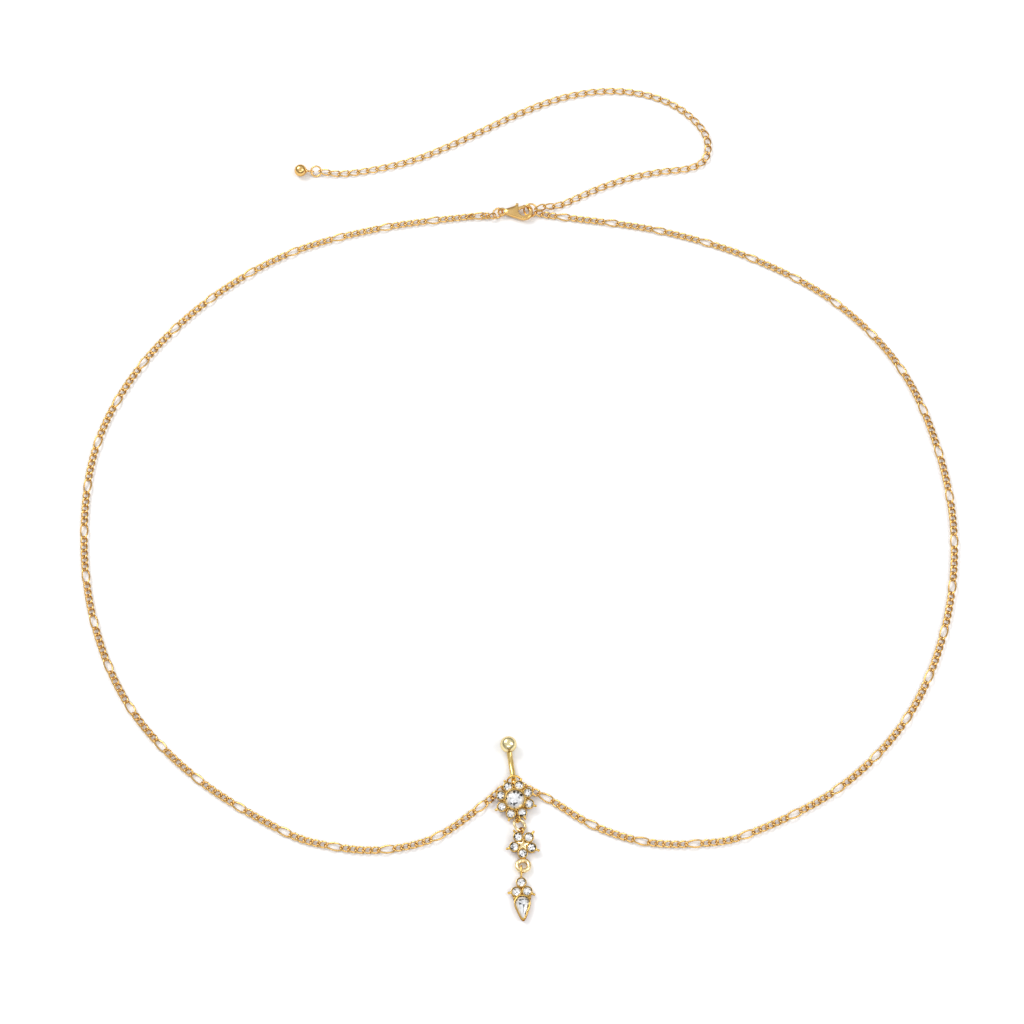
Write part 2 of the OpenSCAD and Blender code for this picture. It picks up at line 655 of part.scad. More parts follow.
// Star flower: five cups round a star, with its upper loop and its heavy lower loop
module star_setting() {
    star_out = star_r * 0.72;
    star_in = star_out * 0.45;
    color(gold) {
        at_star() {
            difference() {
                union() {
                    cylinder(h = plate_t, r = star_r, $fn = 48);
                    around(star_stones_n, star_r, -90)
                        cylinder(h = cup_h, d = cup_w(star_stone_d), $fn = 48);
                    for (a = [1 : star_stones_n - 1])
                        rotate([0, 0, -90 + 360 * a / star_stones_n])
                            translate([star_reach - solder, 0, cup_h - prong_d * 0.7])
                            prong(star_prong_l + solder);
                    linear_extrude(cup_h - 0.1) polygon([
                        for (i = [0 : 2 * star_stones_n - 1])
                            let (a = 90 + i * star_step)
                            (i % 2 == 0 ? star_out : star_in) * [cos(a), sin(a)]
                    ]);
                }
                around(star_stones_n, star_r, -90) cup_hollow(star_stone_d, cup_h);
            }
        }
        translate([star_loop.x, star_loop.y, star_loop.z + star_loop_lift])
            rotate([0, 0, star_heading]) rotate([0, star_loop_roll, 0])
            ring(loop_w, loop_wire);
        translate(heavy_at) rotate([0, 0, heavy_turn]) rotate([heavy_tilt, 0, 0])
            ring(heavy_w, heavy_wire);
    }
}

// Five small stones of the star flower
module star_stones() {
    color(crystal) at_star() around(star_stones_n, star_r, -90)
        round_stone(star_stone_d, cup_h);
}

// Long eyelet that stands across the drop, from two bends and two straight runs
module eyelet() {
    for (end = [-1, 1])
        translate([0, end * eyelet_straight / 2, 0]) rotate([0, 90, 0])
            rotate([0, 0, end > 0 ? 0 : 180])
            rotate_extrude(angle = 180, $fn = 48) translate([eyelet_r, 0])
            circle(d = eyelet_wire, $fn = 24);
    for (side = [-1, 1])
        translate([0, 0, side * eyelet_r]) rotate([90, 0, 0])
            cylinder(h = eyelet_straight, d = eyelet_wire, center = true, $fn = 24);
}

// Drop: three cups over a pear-shaped cup, with its eyelet, prongs and two beads
module drop_setting() {
    pear_cup_l = pear_l + 2 * stone_gap + 2.4 * pear_wall;
    pear_deep = depth(cup_h, pear_w, pear_pavilion_share) + stone_gap;
    color(gold) {
        translate(eyelet_at) rotate([0, 0, drop_turn]) eyelet();
        at_drop() difference() {
            union() {
                linear_extrude(plate_t) polygon([
                    [0, 0], [-drop_row_x, drop_row_y], [0, pear_y], [drop_row_x, drop_row_y]
                ]);
                drop_row() cylinder(h = cup_h, d = drop_cup, $fn = 48);
                translate([0, pear_y, 0]) linear_extrude(cup_h)
                    polygon(pear_outline(pear_cup_w, pear_cup_l));
                for (side = [-1, 1]) {
                    translate([side * drop_row_x, drop_row_y, cup_h - prong_d * 0.7])
                        rotate([0, 0, side < 0 ? 185 : -28])
                        translate([drop_cup / 2 - solder, 0, 0])
                        prong(star_prong_l + solder);
                    translate([side * pear_cup_w * 0.46, pear_y + pear_w * 0.36, 0])
                        cylinder(h = cup_h, d = bead_d, $fn = 24);
                    translate([side * pear_cup_w * 0.46, pear_y + pear_w * 0.36, cup_h])
                        sphere(d = bead_d, $fn = 24);
                }
            }
            drop_row() cup_hollow(drop_stone_d, cup_h);
            translate([0, pear_y, seat_z(cup_h, pear_w) - pear_deep]) linear_extrude(cup_h * 2)
                polygon(pear_outline(pear_w + 2 * stone_gap, pear_l + 2 * stone_gap));
        }
    }
}

// Three small stones of the drop
module drop_stones() {
    color(crystal) at_drop() drop_row() round_stone(drop_stone_d, cup_h);
}

// Pear stone of the drop
module pear_stone() {
    color(crystal) at_drop() translate([0, pear_y, seat_z(cup_h, pear_w)])
        cut_stone(pear_outline(pear_w, pear_l), pear_w,
            depth(cup_h, pear_w, pear_pavilion_share));
}

chain_left();
chain_right();
extender();
clasp_ring();
clasp_body();
clasp_lever();
end_ring();
tag_ring();
tag_ball();
navel_bar();
bar_ball();
navel_ring();
big_stone();
flower_stones();
drop_ring();
star_setting();
star_stones();
drop_setting();
drop_stones();
pear_stone();
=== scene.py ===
# %% [markdown]
# # A figaro waist chain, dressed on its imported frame
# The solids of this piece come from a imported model: rings, clasp, settings and stones, each
# at its real size. This script loads them as a fixed frame and gives every piece the form
# and the finish that the eye meets: interlocking links, rounded castings, cut stones.
# All lengths are written in millimetres and turned into metres by one factor.

import random
from math import acos, asin, atan2, cos, degrees, hypot, pi, radians, sin, sqrt

import bmesh
import bpy
from mathutils import Matrix, Vector
from mathutils.geometry import intersect_point_line


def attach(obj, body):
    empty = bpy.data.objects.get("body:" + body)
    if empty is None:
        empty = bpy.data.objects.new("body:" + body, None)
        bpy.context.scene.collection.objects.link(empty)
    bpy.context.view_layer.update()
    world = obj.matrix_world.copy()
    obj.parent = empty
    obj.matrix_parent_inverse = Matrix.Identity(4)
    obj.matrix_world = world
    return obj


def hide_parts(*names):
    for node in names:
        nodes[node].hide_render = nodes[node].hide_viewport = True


MM = 0.001
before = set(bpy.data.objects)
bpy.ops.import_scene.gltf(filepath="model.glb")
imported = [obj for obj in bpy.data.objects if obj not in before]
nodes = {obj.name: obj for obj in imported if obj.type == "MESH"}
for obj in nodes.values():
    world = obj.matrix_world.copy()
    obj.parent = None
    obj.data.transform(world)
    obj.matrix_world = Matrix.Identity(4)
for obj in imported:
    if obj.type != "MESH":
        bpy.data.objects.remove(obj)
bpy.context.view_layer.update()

# %% [markdown]
# ## Camera
# A photograph fixes three things: where the camera stands, what it looks at and how long its
# lens is. Here it stands a metre off, looking down at 63 degrees with a long lens, so the
# oval of the chain keeps nearly the same width at its top and at its foot.

# %% Camera over the chain
AIM = Vector((-2.0, -12.0, 0.0)) * MM
ELEVATION = radians(63.13)
DISTANCE = 1010.2 * MM
LENS, SENSOR_WIDTH, NEAREST = 111.45, 36.0, 0.01

camera_data = bpy.data.cameras.new("photo_camera")
camera_data.lens = LENS
camera_data.sensor_width = SENSOR_WIDTH
camera_data.clip_start = NEAREST
camera = bpy.data.objects.new("photo_camera", camera_data)
camera.location = AIM + Vector((0, -cos(ELEVATION), sin(ELEVATION))) * DISTANCE
camera.rotation_euler = (pi / 2 - ELEVATION, 0, 0)
bpy.context.collection.objects.link(camera)
bpy.context.scene.camera = camera
print("camera at", [round(c, 3) for c in camera.location])

# %% [markdown]
# ## Floor
# The floor is a plain pale sheet. It is lit so brightly that it is nearly white, as in a
# catalogue picture, and it still takes the soft grey shadows in and under the links. A
# colour alone would do, but real paper has a faint grain, so a noise texture moves its tone
# by a hair. Two short helpers come first, because every later piece uses them: one makes a
# material with its shader, and one turns a finished bmesh into an object at the origin.

# %% Small helpers for materials and objects
def new_material(name):
    """An empty node material with its Principled shader and output."""
    material = bpy.data.materials.new(name)
    material.use_nodes = True
    tree = material.node_tree
    tree.nodes.clear()
    output = tree.nodes.new("ShaderNodeOutputMaterial")
    shader = tree.nodes.new("ShaderNodeBsdfPrincipled")
    tree.links.new(shader.outputs["BSDF"], output.inputs["Surface"])
    return material, tree, shader


def mesh_object(name, bm, *materials):
    """Turns a bmesh into an object at the origin and gives it its materials."""
    mesh = bpy.data.meshes.new(name)
    bm.to_mesh(mesh)
    bm.free()
    for material in materials:
        mesh.materials.append(material)
    obj = bpy.data.objects.new(name, mesh)
    bpy.context.collection.objects.link(obj)
    return obj


# %% Pale floor
FLOOR_SIZE = 4.0
paper, tree, shader = new_material("paper_floor")
shader.inputs["Roughness"].default_value = 0.9
shader.inputs["Specular IOR Level"].default_value = 0.1
grain = tree.nodes.new("ShaderNodeTexNoise")
grain.inputs["Scale"].default_value = 60.0
ramp = tree.nodes.new("ShaderNodeValToRGB")
ramp.color_ramp.elements[0].color = (0.88, 0.88, 0.89, 1)
ramp.color_ramp.elements[1].color = (0.9, 0.9, 0.91, 1)
where = tree.nodes.new("ShaderNodeTexCoord")
tree.links.new(where.outputs["Object"], grain.inputs["Vector"])
tree.links.new(grain.outputs["Fac"], ramp.inputs["Fac"])
tree.links.new(ramp.outputs["Color"], shader.inputs["Base Color"])

bm = bmesh.new()
bmesh.ops.create_grid(bm, x_segments=1, y_segments=1, size=FLOOR_SIZE / 2)
floor = mesh_object("floor", bm, paper)
print("floor of", FLOOR_SIZE, "m")

# %% [markdown]
# ## Light
# Polished gold shows what stands round it more than its own colour. Large soft lamps give
# the long pale streaks on its wires. The sky that it mirrors is a ramp from nearly black at
# the horizon to white overhead, and its dark band gives the brown edges that make gold read
# as metal. The plain view transform keeps the golds as warm as they are set.

# %% Soft lamps
bpy.context.scene.view_settings.view_transform = "Standard"
# name, place in metres, width and depth in metres, watts
LAMPS = [
    ("key_lamp", (-0.7, 0.55, 0.9), 0.7, 0.5, 8.0),
    ("fill_lamp", (0.8, -0.2, 0.8), 0.5, 0.7, 4.0),
    ("front_lamp", (0.0, -0.9, 0.7), 0.8, 0.25, 2.0),
]
for name, place, width, depth, watts in LAMPS:
    lamp_data = bpy.data.lights.new(name, "AREA")
    lamp_data.shape = "RECTANGLE"
    lamp_data.size = width
    lamp_data.size_y = depth
    lamp_data.energy = watts
    lamp = bpy.data.objects.new(name, lamp_data)
    lamp.location = place
    lamp.rotation_euler = (-Vector(place)).to_track_quat("-Z", "Y").to_euler()
    bpy.context.collection.objects.link(lamp)
print(len(LAMPS), "lamps of", sum(row[-1] for row in LAMPS), "W in all")

# %% Graded sky
SKY_STRENGTH, DARK_UP_TO, WHITE_FROM = 0.8, 0.5, 0.85
world = bpy.data.worlds.new("studio")
world.use_nodes = True
bpy.context.scene.world = world
tree = world.node_tree
tree.nodes.clear()
output = tree.nodes.new("ShaderNodeOutputWorld")
glow = tree.nodes.new("ShaderNodeBackground")
glow.inputs["Strength"].default_value = SKY_STRENGTH
ramp = tree.nodes.new("ShaderNodeValToRGB")
ramp.color_ramp.elements[0].position = DARK_UP_TO
ramp.color_ramp.elements[0].color = (0.05, 0.05, 0.052, 1)
ramp.color_ramp.elements[1].position = WHITE_FROM
ramp.color_ramp.elements[1].color = (1, 1, 1, 1)
height = tree.nodes.new("ShaderNodeSeparateXYZ")
# The height of a direction runs from -1 to 1, and the ramp takes 0 to 1.
half = tree.nodes.new("ShaderNodeMath")
half.operation = "MULTIPLY_ADD"
half.inputs[1].default_value = 0.5
half.inputs[2].default_value = 0.5
where = tree.nodes.new("ShaderNodeTexCoord")
tree.links.new(where.outputs["Generated"], height.inputs["Vector"])
tree.links.new(height.outputs["Z"], half.inputs[0])
tree.links.new(half.outputs["Value"], ramp.inputs["Fac"])
tree.links.new(ramp.outputs["Color"], glow.inputs["Color"])
tree.links.new(glow.outputs["Background"], output.inputs["Surface"])
print("graded sky, white from", WHITE_FROM, "of its height")

# %% [markdown]
# ## Plated gold
# Plated brass is never one even yellow. Its polish leaves faint clouds, its tone drifts a
# little, and the smallest scratches widen the highlights. These three effects are the same
# on every casting, so they sit in one node group, and each gold sets its own tones in it.

# %% Node group of the plated polish
def group_socket(group, name, direction, kind, value=None):
    socket = group.interface.new_socket(name, in_out=direction, socket_type=kind)
    if value is not None:
        socket.default_value = value


polish = bpy.data.node_groups.new("plated_polish", "ShaderNodeTree")
group_socket(polish, "Bright Tone", "INPUT", "NodeSocketColor", (0.9, 0.6, 0.2, 1))
group_socket(polish, "Deep Tone", "INPUT", "NodeSocketColor", (0.7, 0.4, 0.1, 1))
group_socket(polish, "Cloud Scale", "INPUT", "NodeSocketFloat", 600.0)
group_socket(polish, "Roughness Low", "INPUT", "NodeSocketFloat", 0.12)
group_socket(polish, "Roughness High", "INPUT", "NodeSocketFloat", 0.28)
group_socket(polish, "Color", "OUTPUT", "NodeSocketColor")
group_socket(polish, "Roughness", "OUTPUT", "NodeSocketFloat")
group_socket(polish, "Height", "OUTPUT", "NodeSocketFloat")

given = polish.nodes.new("NodeGroupInput")
made = polish.nodes.new("NodeGroupOutput")
where = polish.nodes.new("ShaderNodeTexCoord")
clouds = polish.nodes.new("ShaderNodeTexNoise")
clouds.inputs["Detail"].default_value = 4.0
tone = polish.nodes.new("ShaderNodeMix")
tone.data_type = "RGBA"
spread = polish.nodes.new("ShaderNodeMapRange")
spread.inputs["From Min"].default_value = 0.3
spread.inputs["From Max"].default_value = 0.7
scratches = polish.nodes.new("ShaderNodeTexNoise")
scratches.inputs["Scale"].default_value = 4200.0
scratches.inputs["Detail"].default_value = 2.0
link = polish.links.new
link(where.outputs["Object"], clouds.inputs["Vector"])
link(where.outputs["Object"], scratches.inputs["Vector"])
link(given.outputs["Cloud Scale"], clouds.inputs["Scale"])
link(clouds.outputs["Fac"], tone.inputs["Factor"])
link(given.outputs["Deep Tone"], tone.inputs["A"])
link(given.outputs["Bright Tone"], tone.inputs["B"])
link(scratches.outputs["Fac"], spread.inputs["Value"])
link(given.outputs["Roughness Low"], spread.inputs["To Min"])
link(given.outputs["Roughness High"], spread.inputs["To Max"])
link(tone.outputs["Result"], made.inputs["Color"])
link(spread.outputs["Result"], made.inputs["Roughness"])
link(scratches.outputs["Fac"], made.inputs["Height"])
print("polish group with", len(polish.nodes), "nodes")


# %% [markdown]
# ## Seven golds
# The same plating looks different from piece to piece. The links are a warm, deep gold and
# the ball is a pale one, while the bar is polished like a mirror and the star like satin.
# Deep between the cups the gold mirrors only more gold and goes brown, so the recesses get a
# dark brown gold of their own: painted shade. The star's pale gold also goes on the drop ring
# and the heavy loop, where it is a painted highlight. In Blender's shader a metal's rims go
# white at a grazing angle. On wires as thin as these that would wash the gold out, so the
# tint of that angle is brown.

# %% The golds
EDGE_TINT = (0.8, 0.6, 0.34, 1)


def gold_material(name, bright, deep, low, high, bump=0.04):
    """Plated metal: tones and roughness from the polish group, and a faint bump."""
    material, tree, shader = new_material(name)
    shader.inputs["Metallic"].default_value = 1.0
    shader.inputs["Specular Tint"].default_value = EDGE_TINT
    finish = tree.nodes.new("ShaderNodeGroup")
    finish.node_tree = polish
    finish.inputs["Bright Tone"].default_value = (*bright, 1)
    finish.inputs["Deep Tone"].default_value = (*deep, 1)
    finish.inputs["Roughness Low"].default_value = low
    finish.inputs["Roughness High"].default_value = high
    dents = tree.nodes.new("ShaderNodeBump")
    dents.inputs["Strength"].default_value = bump
    dents.inputs["Distance"].default_value = 0.02 * MM
    tree.links.new(finish.outputs["Color"], shader.inputs["Base Color"])
    tree.links.new(finish.outputs["Roughness"], shader.inputs["Roughness"])
    tree.links.new(finish.outputs["Height"], dents.inputs["Height"])
    tree.links.new(dents.outputs["Normal"], shader.inputs["Normal"])
    return material


# name, bright tone, deep tone, and the least and the most roughness of the polish
chain_gold = gold_material("chain_plating", (0.9, 0.61, 0.25), (0.6, 0.34, 0.07), 0.12, 0.26)
fitting_gold = gold_material("fitting_plating", (0.92, 0.62, 0.26), (0.74, 0.45, 0.14),
                             0.12, 0.26)
setting_gold = gold_material("setting_plating", (0.93, 0.65, 0.23), (0.64, 0.38, 0.07), 0.08, 0.2)
# Painted shade: a dark brown gold for the faces deep between the cups and on the plates.
painted_shade_gold = gold_material("painted_shade_plating", (0.52, 0.25, 0.05), (0.32, 0.13, 0.02), 0.2, 0.36)
pale_gold = gold_material("pale_plating", (0.92, 0.82, 0.5), (0.82, 0.7, 0.36), 0.18, 0.3)
bar_gold = gold_material("bar_plating", (0.93, 0.72, 0.3), (0.72, 0.48, 0.13), 0.06, 0.14)
# The star's own pale satin gold, which on the drop ring and the heavy loop is a painted
# highlight.
star_and_highlight_gold = gold_material("star_and_highlight_plating", (0.99, 0.82, 0.48), (0.93, 0.72, 0.38), 0.16, 0.3)
print("golds:", [m.name for m in bpy.data.materials if "plating" in m.name])

# %% [markdown]
# ## Cut stones
# A clear stone in a closed cup works like a small mirror box: some facets flash white, and
# their neighbours go grey or nearly black. These flashes are painted: each facet gets its own
# painted reflection, stored as a face attribute, so that the flicker stays in place from every
# side, and a thin clear coat on a silvery base gives it the sharp glints.

# %% Crystal material
PAINTED_FACET_LIGHT = "painted_facet_light"
crystal, tree, shader = new_material("cut_crystal")
shader.inputs["Metallic"].default_value = 0.3
shader.inputs["Roughness"].default_value = 0.06
shader.inputs["IOR"].default_value = 2.0
shader.inputs["Coat Weight"].default_value = 0.8
shader.inputs["Coat Roughness"].default_value = 0.02
# The base colour is painted reflection: a face attribute from black facets to white flashes.
tone = tree.nodes.new("ShaderNodeAttribute")
tone.attribute_name = PAINTED_FACET_LIGHT
ramp = tree.nodes.new("ShaderNodeValToRGB")
ramp.color_ramp.elements[0].color = (0.004, 0.005, 0.007, 1)
ramp.color_ramp.elements[1].color = (0.97, 0.98, 1.0, 1)
for place, grey in [(0.12, 0.03), (0.34, 0.2), (0.6, 0.7)]:
    stop = ramp.color_ramp.elements.new(place)
    stop.color = (grey * 0.97, grey * 0.98, grey, 1)
tree.links.new(tone.outputs["Fac"], ramp.inputs["Fac"])
tree.links.new(ramp.outputs["Color"], shader.inputs["Base Color"])
print("crystal ramp of", len(ramp.color_ramp.elements), "tones")

# %% [markdown]
# ## Woven links
# A figaro chain repeats five short links and one long one. Every link is an oval of wire
# that is twisted a quarter turn, so each end stands at 45 degrees, its neighbour's end
# stands at the opposite slant, and the two pass through each other while the chain lies
# flat. A ring of wire is spun once, pulled into that twisted oval, and then copied from
# joint to joint along the strand.

# %% Middle line of a twisted oval
SQUARENESS = 2.5
QUARTER_TWIST = (-45, 45)


def oval_power(value):
    """The power that makes a circle's sine or cosine into that of a fuller oval."""
    return (1 if value > 0 else -1) * abs(value) ** (2 / SQUARENESS)


def oval_point(half_l, half_w, angle, twist):
    """A point on the link's middle line. It rolls between two angles along X."""
    x = half_l * oval_power(cos(angle))
    across = half_w * oval_power(sin(angle))
    roll = radians(twist[0] + (twist[1] - twist[0]) * (x / half_l + 1) / 2)
    return Vector((x, across * cos(roll), across * sin(roll)))


print("a link rolls from", QUARTER_TWIST[0], "to", QUARTER_TWIST[1], "degrees")


# %% One link of wire
def link_mesh(name, half_l, half_w, wire, sides, wire_sides, twist=QUARTER_TWIST):
    """Spins a wire ring and moves its points onto the twisted oval."""
    bm = bmesh.new()
    stand = Matrix.Translation((half_w, 0, 0)) @ Matrix.Rotation(pi / 2, 4, "X")
    bmesh.ops.create_circle(bm, segments=wire_sides, radius=wire / 2, matrix=stand)
    bmesh.ops.spin(bm, geom=bm.verts[:] + bm.edges[:], cent=(0, 0, 0), axis=(0, 0, 1),
                   dvec=(0, 0, 0), angle=2 * pi, steps=sides, use_merge=True,
                   use_duplicate=False)
    step = pi / sides
    for vert in bm.verts:
        angle = atan2(vert.co.y, vert.co.x)
        out, up = hypot(vert.co.x, vert.co.y) - half_w, vert.co.z
        middle = oval_point(half_l, half_w, angle, twist)
        along = (oval_point(half_l, half_w, angle + step, twist)
                 - oval_point(half_l, half_w, angle - step, twist)).normalized()
        flat = Vector((middle.x / half_l, middle.y / half_w, middle.z / half_w))
        flat = (flat - along * flat.dot(along)).normalized()
        vert.co = middle + flat * out + along.cross(flat) * up
    bmesh.ops.recalc_face_normals(bm, faces=bm.faces)
    for face in bm.faces:
        face.smooth = True
    mesh = bpy.data.meshes.new(name)
    bm.to_mesh(mesh)
    bm.free()
    print("one", name, "link has", len(mesh.polygons), "faces")
    return mesh


# %% [markdown]
# ## Route of a strand
# A chain lies in one smooth line, and a few dozen points along it are enough to say which.
# A Catmull-Rom curve goes through every one of them without a kink. The links are then set
# out along it by their pitch, the length that each one adds to the chain. The real number
# of links never fits a drawn line to the last hair, so all pitches are scaled by one factor
# that is very near one, and the links keep their order and their look.

# %% A smooth route through chosen points
ROUTE_STEPS = 16


def smooth_route(points, samples=ROUTE_STEPS):
    """Catmull-Rom curve through points in millimetres, as vectors in metres."""
    p = [Vector(q) * MM for q in points]
    p = [2 * p[0] - p[1], *p, 2 * p[-1] - p[-2]]
    route = []
    for a, b, c, d in zip(p, p[1:], p[2:], p[3:]):
        for k in range(samples):
            t = k / samples
            route.append(0.5 * (2 * b + (c - a) * t + (2 * a - 5 * b + 4 * c - d) * t * t
                                + (3 * b - a - 3 * c + d) * t ** 3))
    return route + [p[-2]]


def joints_along(route, pitches):
    """Points along the route, one pitch apart, after the pitches are fitted to its length."""
    runs = [0.0]
    for a, b in zip(route, route[1:]):
        runs.append(runs[-1] + (b - a).length)
    fit = runs[-1] / sum(pitches)
    found, at, i = [route[0].copy()], 0.0, 0
    for pitch in pitches:
        at = min(at + pitch * fit, runs[-1])
        while i < len(runs) - 2 and runs[i + 1] < at:
            i += 1
        share = (at - runs[i]) / (runs[i + 1] - runs[i])
        found.append(route[i].lerp(route[i + 1], min(share, 1.0)))
    return found, fit


print("routes take", ROUTE_STEPS, "steps between two points")


# %% Links woven along a route
def lie_level(middle, along):
    """Matrix that puts X along the strand and Y level across it."""
    x = along.normalized()
    y = Vector((0, 0, 1)).cross(x).normalized()
    z = x.cross(y)
    turn = Matrix((x, y, z)).transposed().to_4x4()
    return Matrix.Translation(middle) @ turn


def woven_strand(name, points, kinds, sizes, body="waist_chain"):
    """One object of interlocked links. kinds names each link in order."""
    route = smooth_route(points)
    joints, fit = joints_along(route, [sizes[kind]["pitch"] * MM for kind in kinds])
    meshes = {}
    for kind, size in sizes.items():
        half_l = (size["pitch"] * fit + size["wire"] + size["play"]) / 2 * MM
        half_w = (size["width"] - size["wire"]) / 2 * MM
        meshes[kind] = link_mesh(kind, half_l, half_w, size["wire"] * MM, size["sides"],
                                 size["wire_sides"], size.get("twist", QUARTER_TWIST))
    bm = bmesh.new()
    for kind, a, b in zip(kinds, joints, joints[1:]):
        done = len(bm.verts)
        bm.from_mesh(meshes[kind])
        bm.verts.ensure_lookup_table()
        bmesh.ops.transform(bm, matrix=lie_level((a + b) / 2, b - a), verts=bm.verts[done:])
    obj = mesh_object(name, bm, chain_gold)
    for mesh in meshes.values():
        bpy.data.meshes.remove(mesh)
    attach(obj, body)
    print(name, len(kinds), "links, fitted by", round(fit, 4))
    return obj


# %% [markdown]
# ## The figaro strands
# Both strands start at the clasp and meet at the navel ring. The first and last few points
# of each route carry the end links through their rings, and the points between follow the
# curve in which the chain lies. Five short links and one long one repeat, so a strand is a
# list of kinds, and the strand's own length decides how often the pattern fits.

# %% Sizes of the links, in millimetres
LINKS = {
    "short": {"pitch": 2.25, "width": 2.5, "wire": 0.56, "play": 0.2,
              "sides": 12, "wire_sides": 6},
    "long": {"pitch": 4.75, "width": 2.8, "wire": 0.56, "play": 0.2,
             "sides": 16, "wire_sides": 6},
}
# The left strand's last link is nearly flat, to pass under the navel ring's tilted wire.
HOOKED = {**LINKS, "hook": {**LINKS["short"], "twist": (-45, -30)}}
# Height of a strand's middle line where it lies flat
LIE = 0.8
FIVE_AND_ONE = ["short"] * 5 + ["long"]
print("one repeat adds", sum(LINKS[kind]["pitch"] for kind in FIVE_AND_ONE), "mm")

# %% Left strand
LEFT_ROUTE = [
    (-7.71, 97.91, 1.65), (-9.81, 98.47, 1.06), (-12.05, 98.49, 0.89), (-14.3, 98.5, LIE),
    (-46, 93.7, LIE), (-76.5, 83.6, LIE), (-102.5, 65.3, LIE), (-123, 41, LIE),
    (-135.5, 12.3, LIE), (-137.8, -19.5, LIE), (-132.8, -51, LIE), (-120, -80, LIE),
    (-98.7, -103.2, LIE), (-71.9, -120.5, LIE), (-56.5, -125.6, LIE), (-41, -126.8, LIE),
    (-25.4, -123, LIE), (-12.6, -113.8, LIE), (-8.11, -109.89, 0.9), (-6.44, -108.38, 0.97),
    (-4.77, -106.87, 1.04), (-2.82, -105.74, 1.04),
]
left_kinds = ["short"] * 2 + ["long"] + FIVE_AND_ONE * 24 + ["short"] * 3 + ["hook"]
figaro_left = woven_strand("figaro_left", LEFT_ROUTE, left_kinds, HOOKED)
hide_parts("chain_left")

# %% Right strand
RIGHT_ROUTE = [
    (5.9, 99.5, 1.4), (8.5, 99, 0.9), (12, 98.4, LIE), (16.3, 97.9, LIE),
    (47.7, 92.6, LIE), (78, 81.8, LIE), (104.8, 64.7, LIE), (124.7, 40, LIE),
    (135.1, 9.7, LIE), (138.2, -22.1, LIE), (133, -54.3, LIE), (119.8, -83.6, LIE),
    (98, -106.6, LIE), (70, -121.6, LIE), (54, -124.8, LIE), (38.1, -124.2, LIE),
    (23, -119.1, LIE), (10.3, -111, LIE), (6.08, -108.67, 0.87), (4.09, -107.6, 0.96),
    (2.11, -106.54, 1.04), (0, -105.77, 1.04),
]
right_kinds = ["short"] * 3 + ["long"] + FIVE_AND_ONE * 24 + ["short"] * 3
figaro_right = woven_strand("figaro_right", RIGHT_ROUTE, right_kinds, LINKS)
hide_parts("chain_right")

# %% [markdown]
# ## The extender
# The extender is a plain chain of wider links, all alike, so that the clasp can close in any
# of them. It is woven by the same helper as the strands. Its links get a rounder wire,
# because there are only a few dozen of them and they lie in the open.

# %% Extender chain
# Height of the extender's middle line where it lies flat
LOW = 0.7
EXTENDER_ROUTE = [
    (6, 100.2, 2.4), (9, 101.6, 1.8), (12.2, 102.2, 0.95), (15.2, 103.2, LOW),
    (20.3, 105.9, LOW), (29.2, 110.3, LOW), (38.5, 113.8, LOW), (48, 116, LOW),
    (57.7, 117.4, LOW), (63, 120.6, LOW), (64.4, 126.8, LOW), (62.6, 133, LOW),
    (56.2, 140.6, LOW), (47.9, 145.7, LOW), (38.4, 148.3, LOW), (28.5, 148.6, LOW),
    (18.9, 147, LOW), (9.5, 143.8, LOW), (-2.4, 138, LOW), (-14, 131.4, LOW),
    (-25.5, 125.2, LOW), (-37.2, 120, LOW), (-50, 116.6, LOW), (-60, 115.2, 0.75),
    (-66.6, 115.8, 1.45),
]
EXTENDER_LINKS = {
    "open": {"pitch": 3.25, "width": 2.5, "wire": 0.5, "play": 0.3,
             "sides": 24, "wire_sides": 8},
}
EXTENDER_COUNT = 67
extender_links = woven_strand("extender_links", EXTENDER_ROUTE, ["open"] * EXTENDER_COUNT,
                              EXTENDER_LINKS)
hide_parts("extender")

# %% [markdown]
# ## Jump rings
# A jump ring is a turn of round wire whose two ends meet in a fine cut, so that it can be
# opened sideways and closed again. Spinning a circle almost all the way round leaves that
# cut, and filling its two open ends makes the ring a closed solid. The ring keeps the width,
# wire and lean of the solid that it replaces.

# %% Place and turns of a piece
def put(at, turn=0, tilt=0, roll=0):
    """Place of a piece: a point in millimetres, then turns about Z, X and Y in degrees."""
    return (Matrix.Translation(Vector(at) * MM) @ Matrix.Rotation(radians(turn), 4, "Z")
            @ Matrix.Rotation(radians(tilt), 4, "X") @ Matrix.Rotation(radians(roll), 4, "Y"))


print("a place 1 mm up stands at", round(put((0, 0, 1)).translation.z, 4), "m")


# %% Spun ring of wire
RING_STEPS, RING_SIDES = 48, 16


def wire_ring(bm, width, wire, place, cut=0.0, first=0, steps=RING_STEPS, sides=RING_SIDES):
    """Spins a round wire about the Z axis of place. Sizes and the cut are in millimetres."""
    radius = (width - wire) / 2
    gap = cut / radius
    section = (place @ Matrix.Rotation(radians(first) + gap / 2, 4, "Z")
               @ Matrix.Translation((radius * MM, 0, 0)) @ Matrix.Rotation(pi / 2, 4, "X"))
    old_edges = set(bm.edges)
    made = bmesh.ops.create_circle(bm, segments=sides, radius=wire / 2 * MM, matrix=section)
    ring_edges = [edge for edge in bm.edges if edge not in old_edges]
    bmesh.ops.spin(bm, geom=made["verts"] + ring_edges, cent=place.translation,
                   axis=place.to_3x3() @ Vector((0, 0, 1)), dvec=(0, 0, 0),
                   angle=2 * pi - gap, steps=steps, use_merge=cut == 0, use_duplicate=False)
    if cut:
        open_ends = [edge for edge in bm.edges if edge not in old_edges and edge.is_boundary]
        bmesh.ops.holes_fill(bm, edges=open_ends, sides=0)


print("a jump ring has", RING_STEPS * RING_SIDES, "faces and two ends")


# %% Finishing of a shaped piece
SHARP_FROM = radians(38)


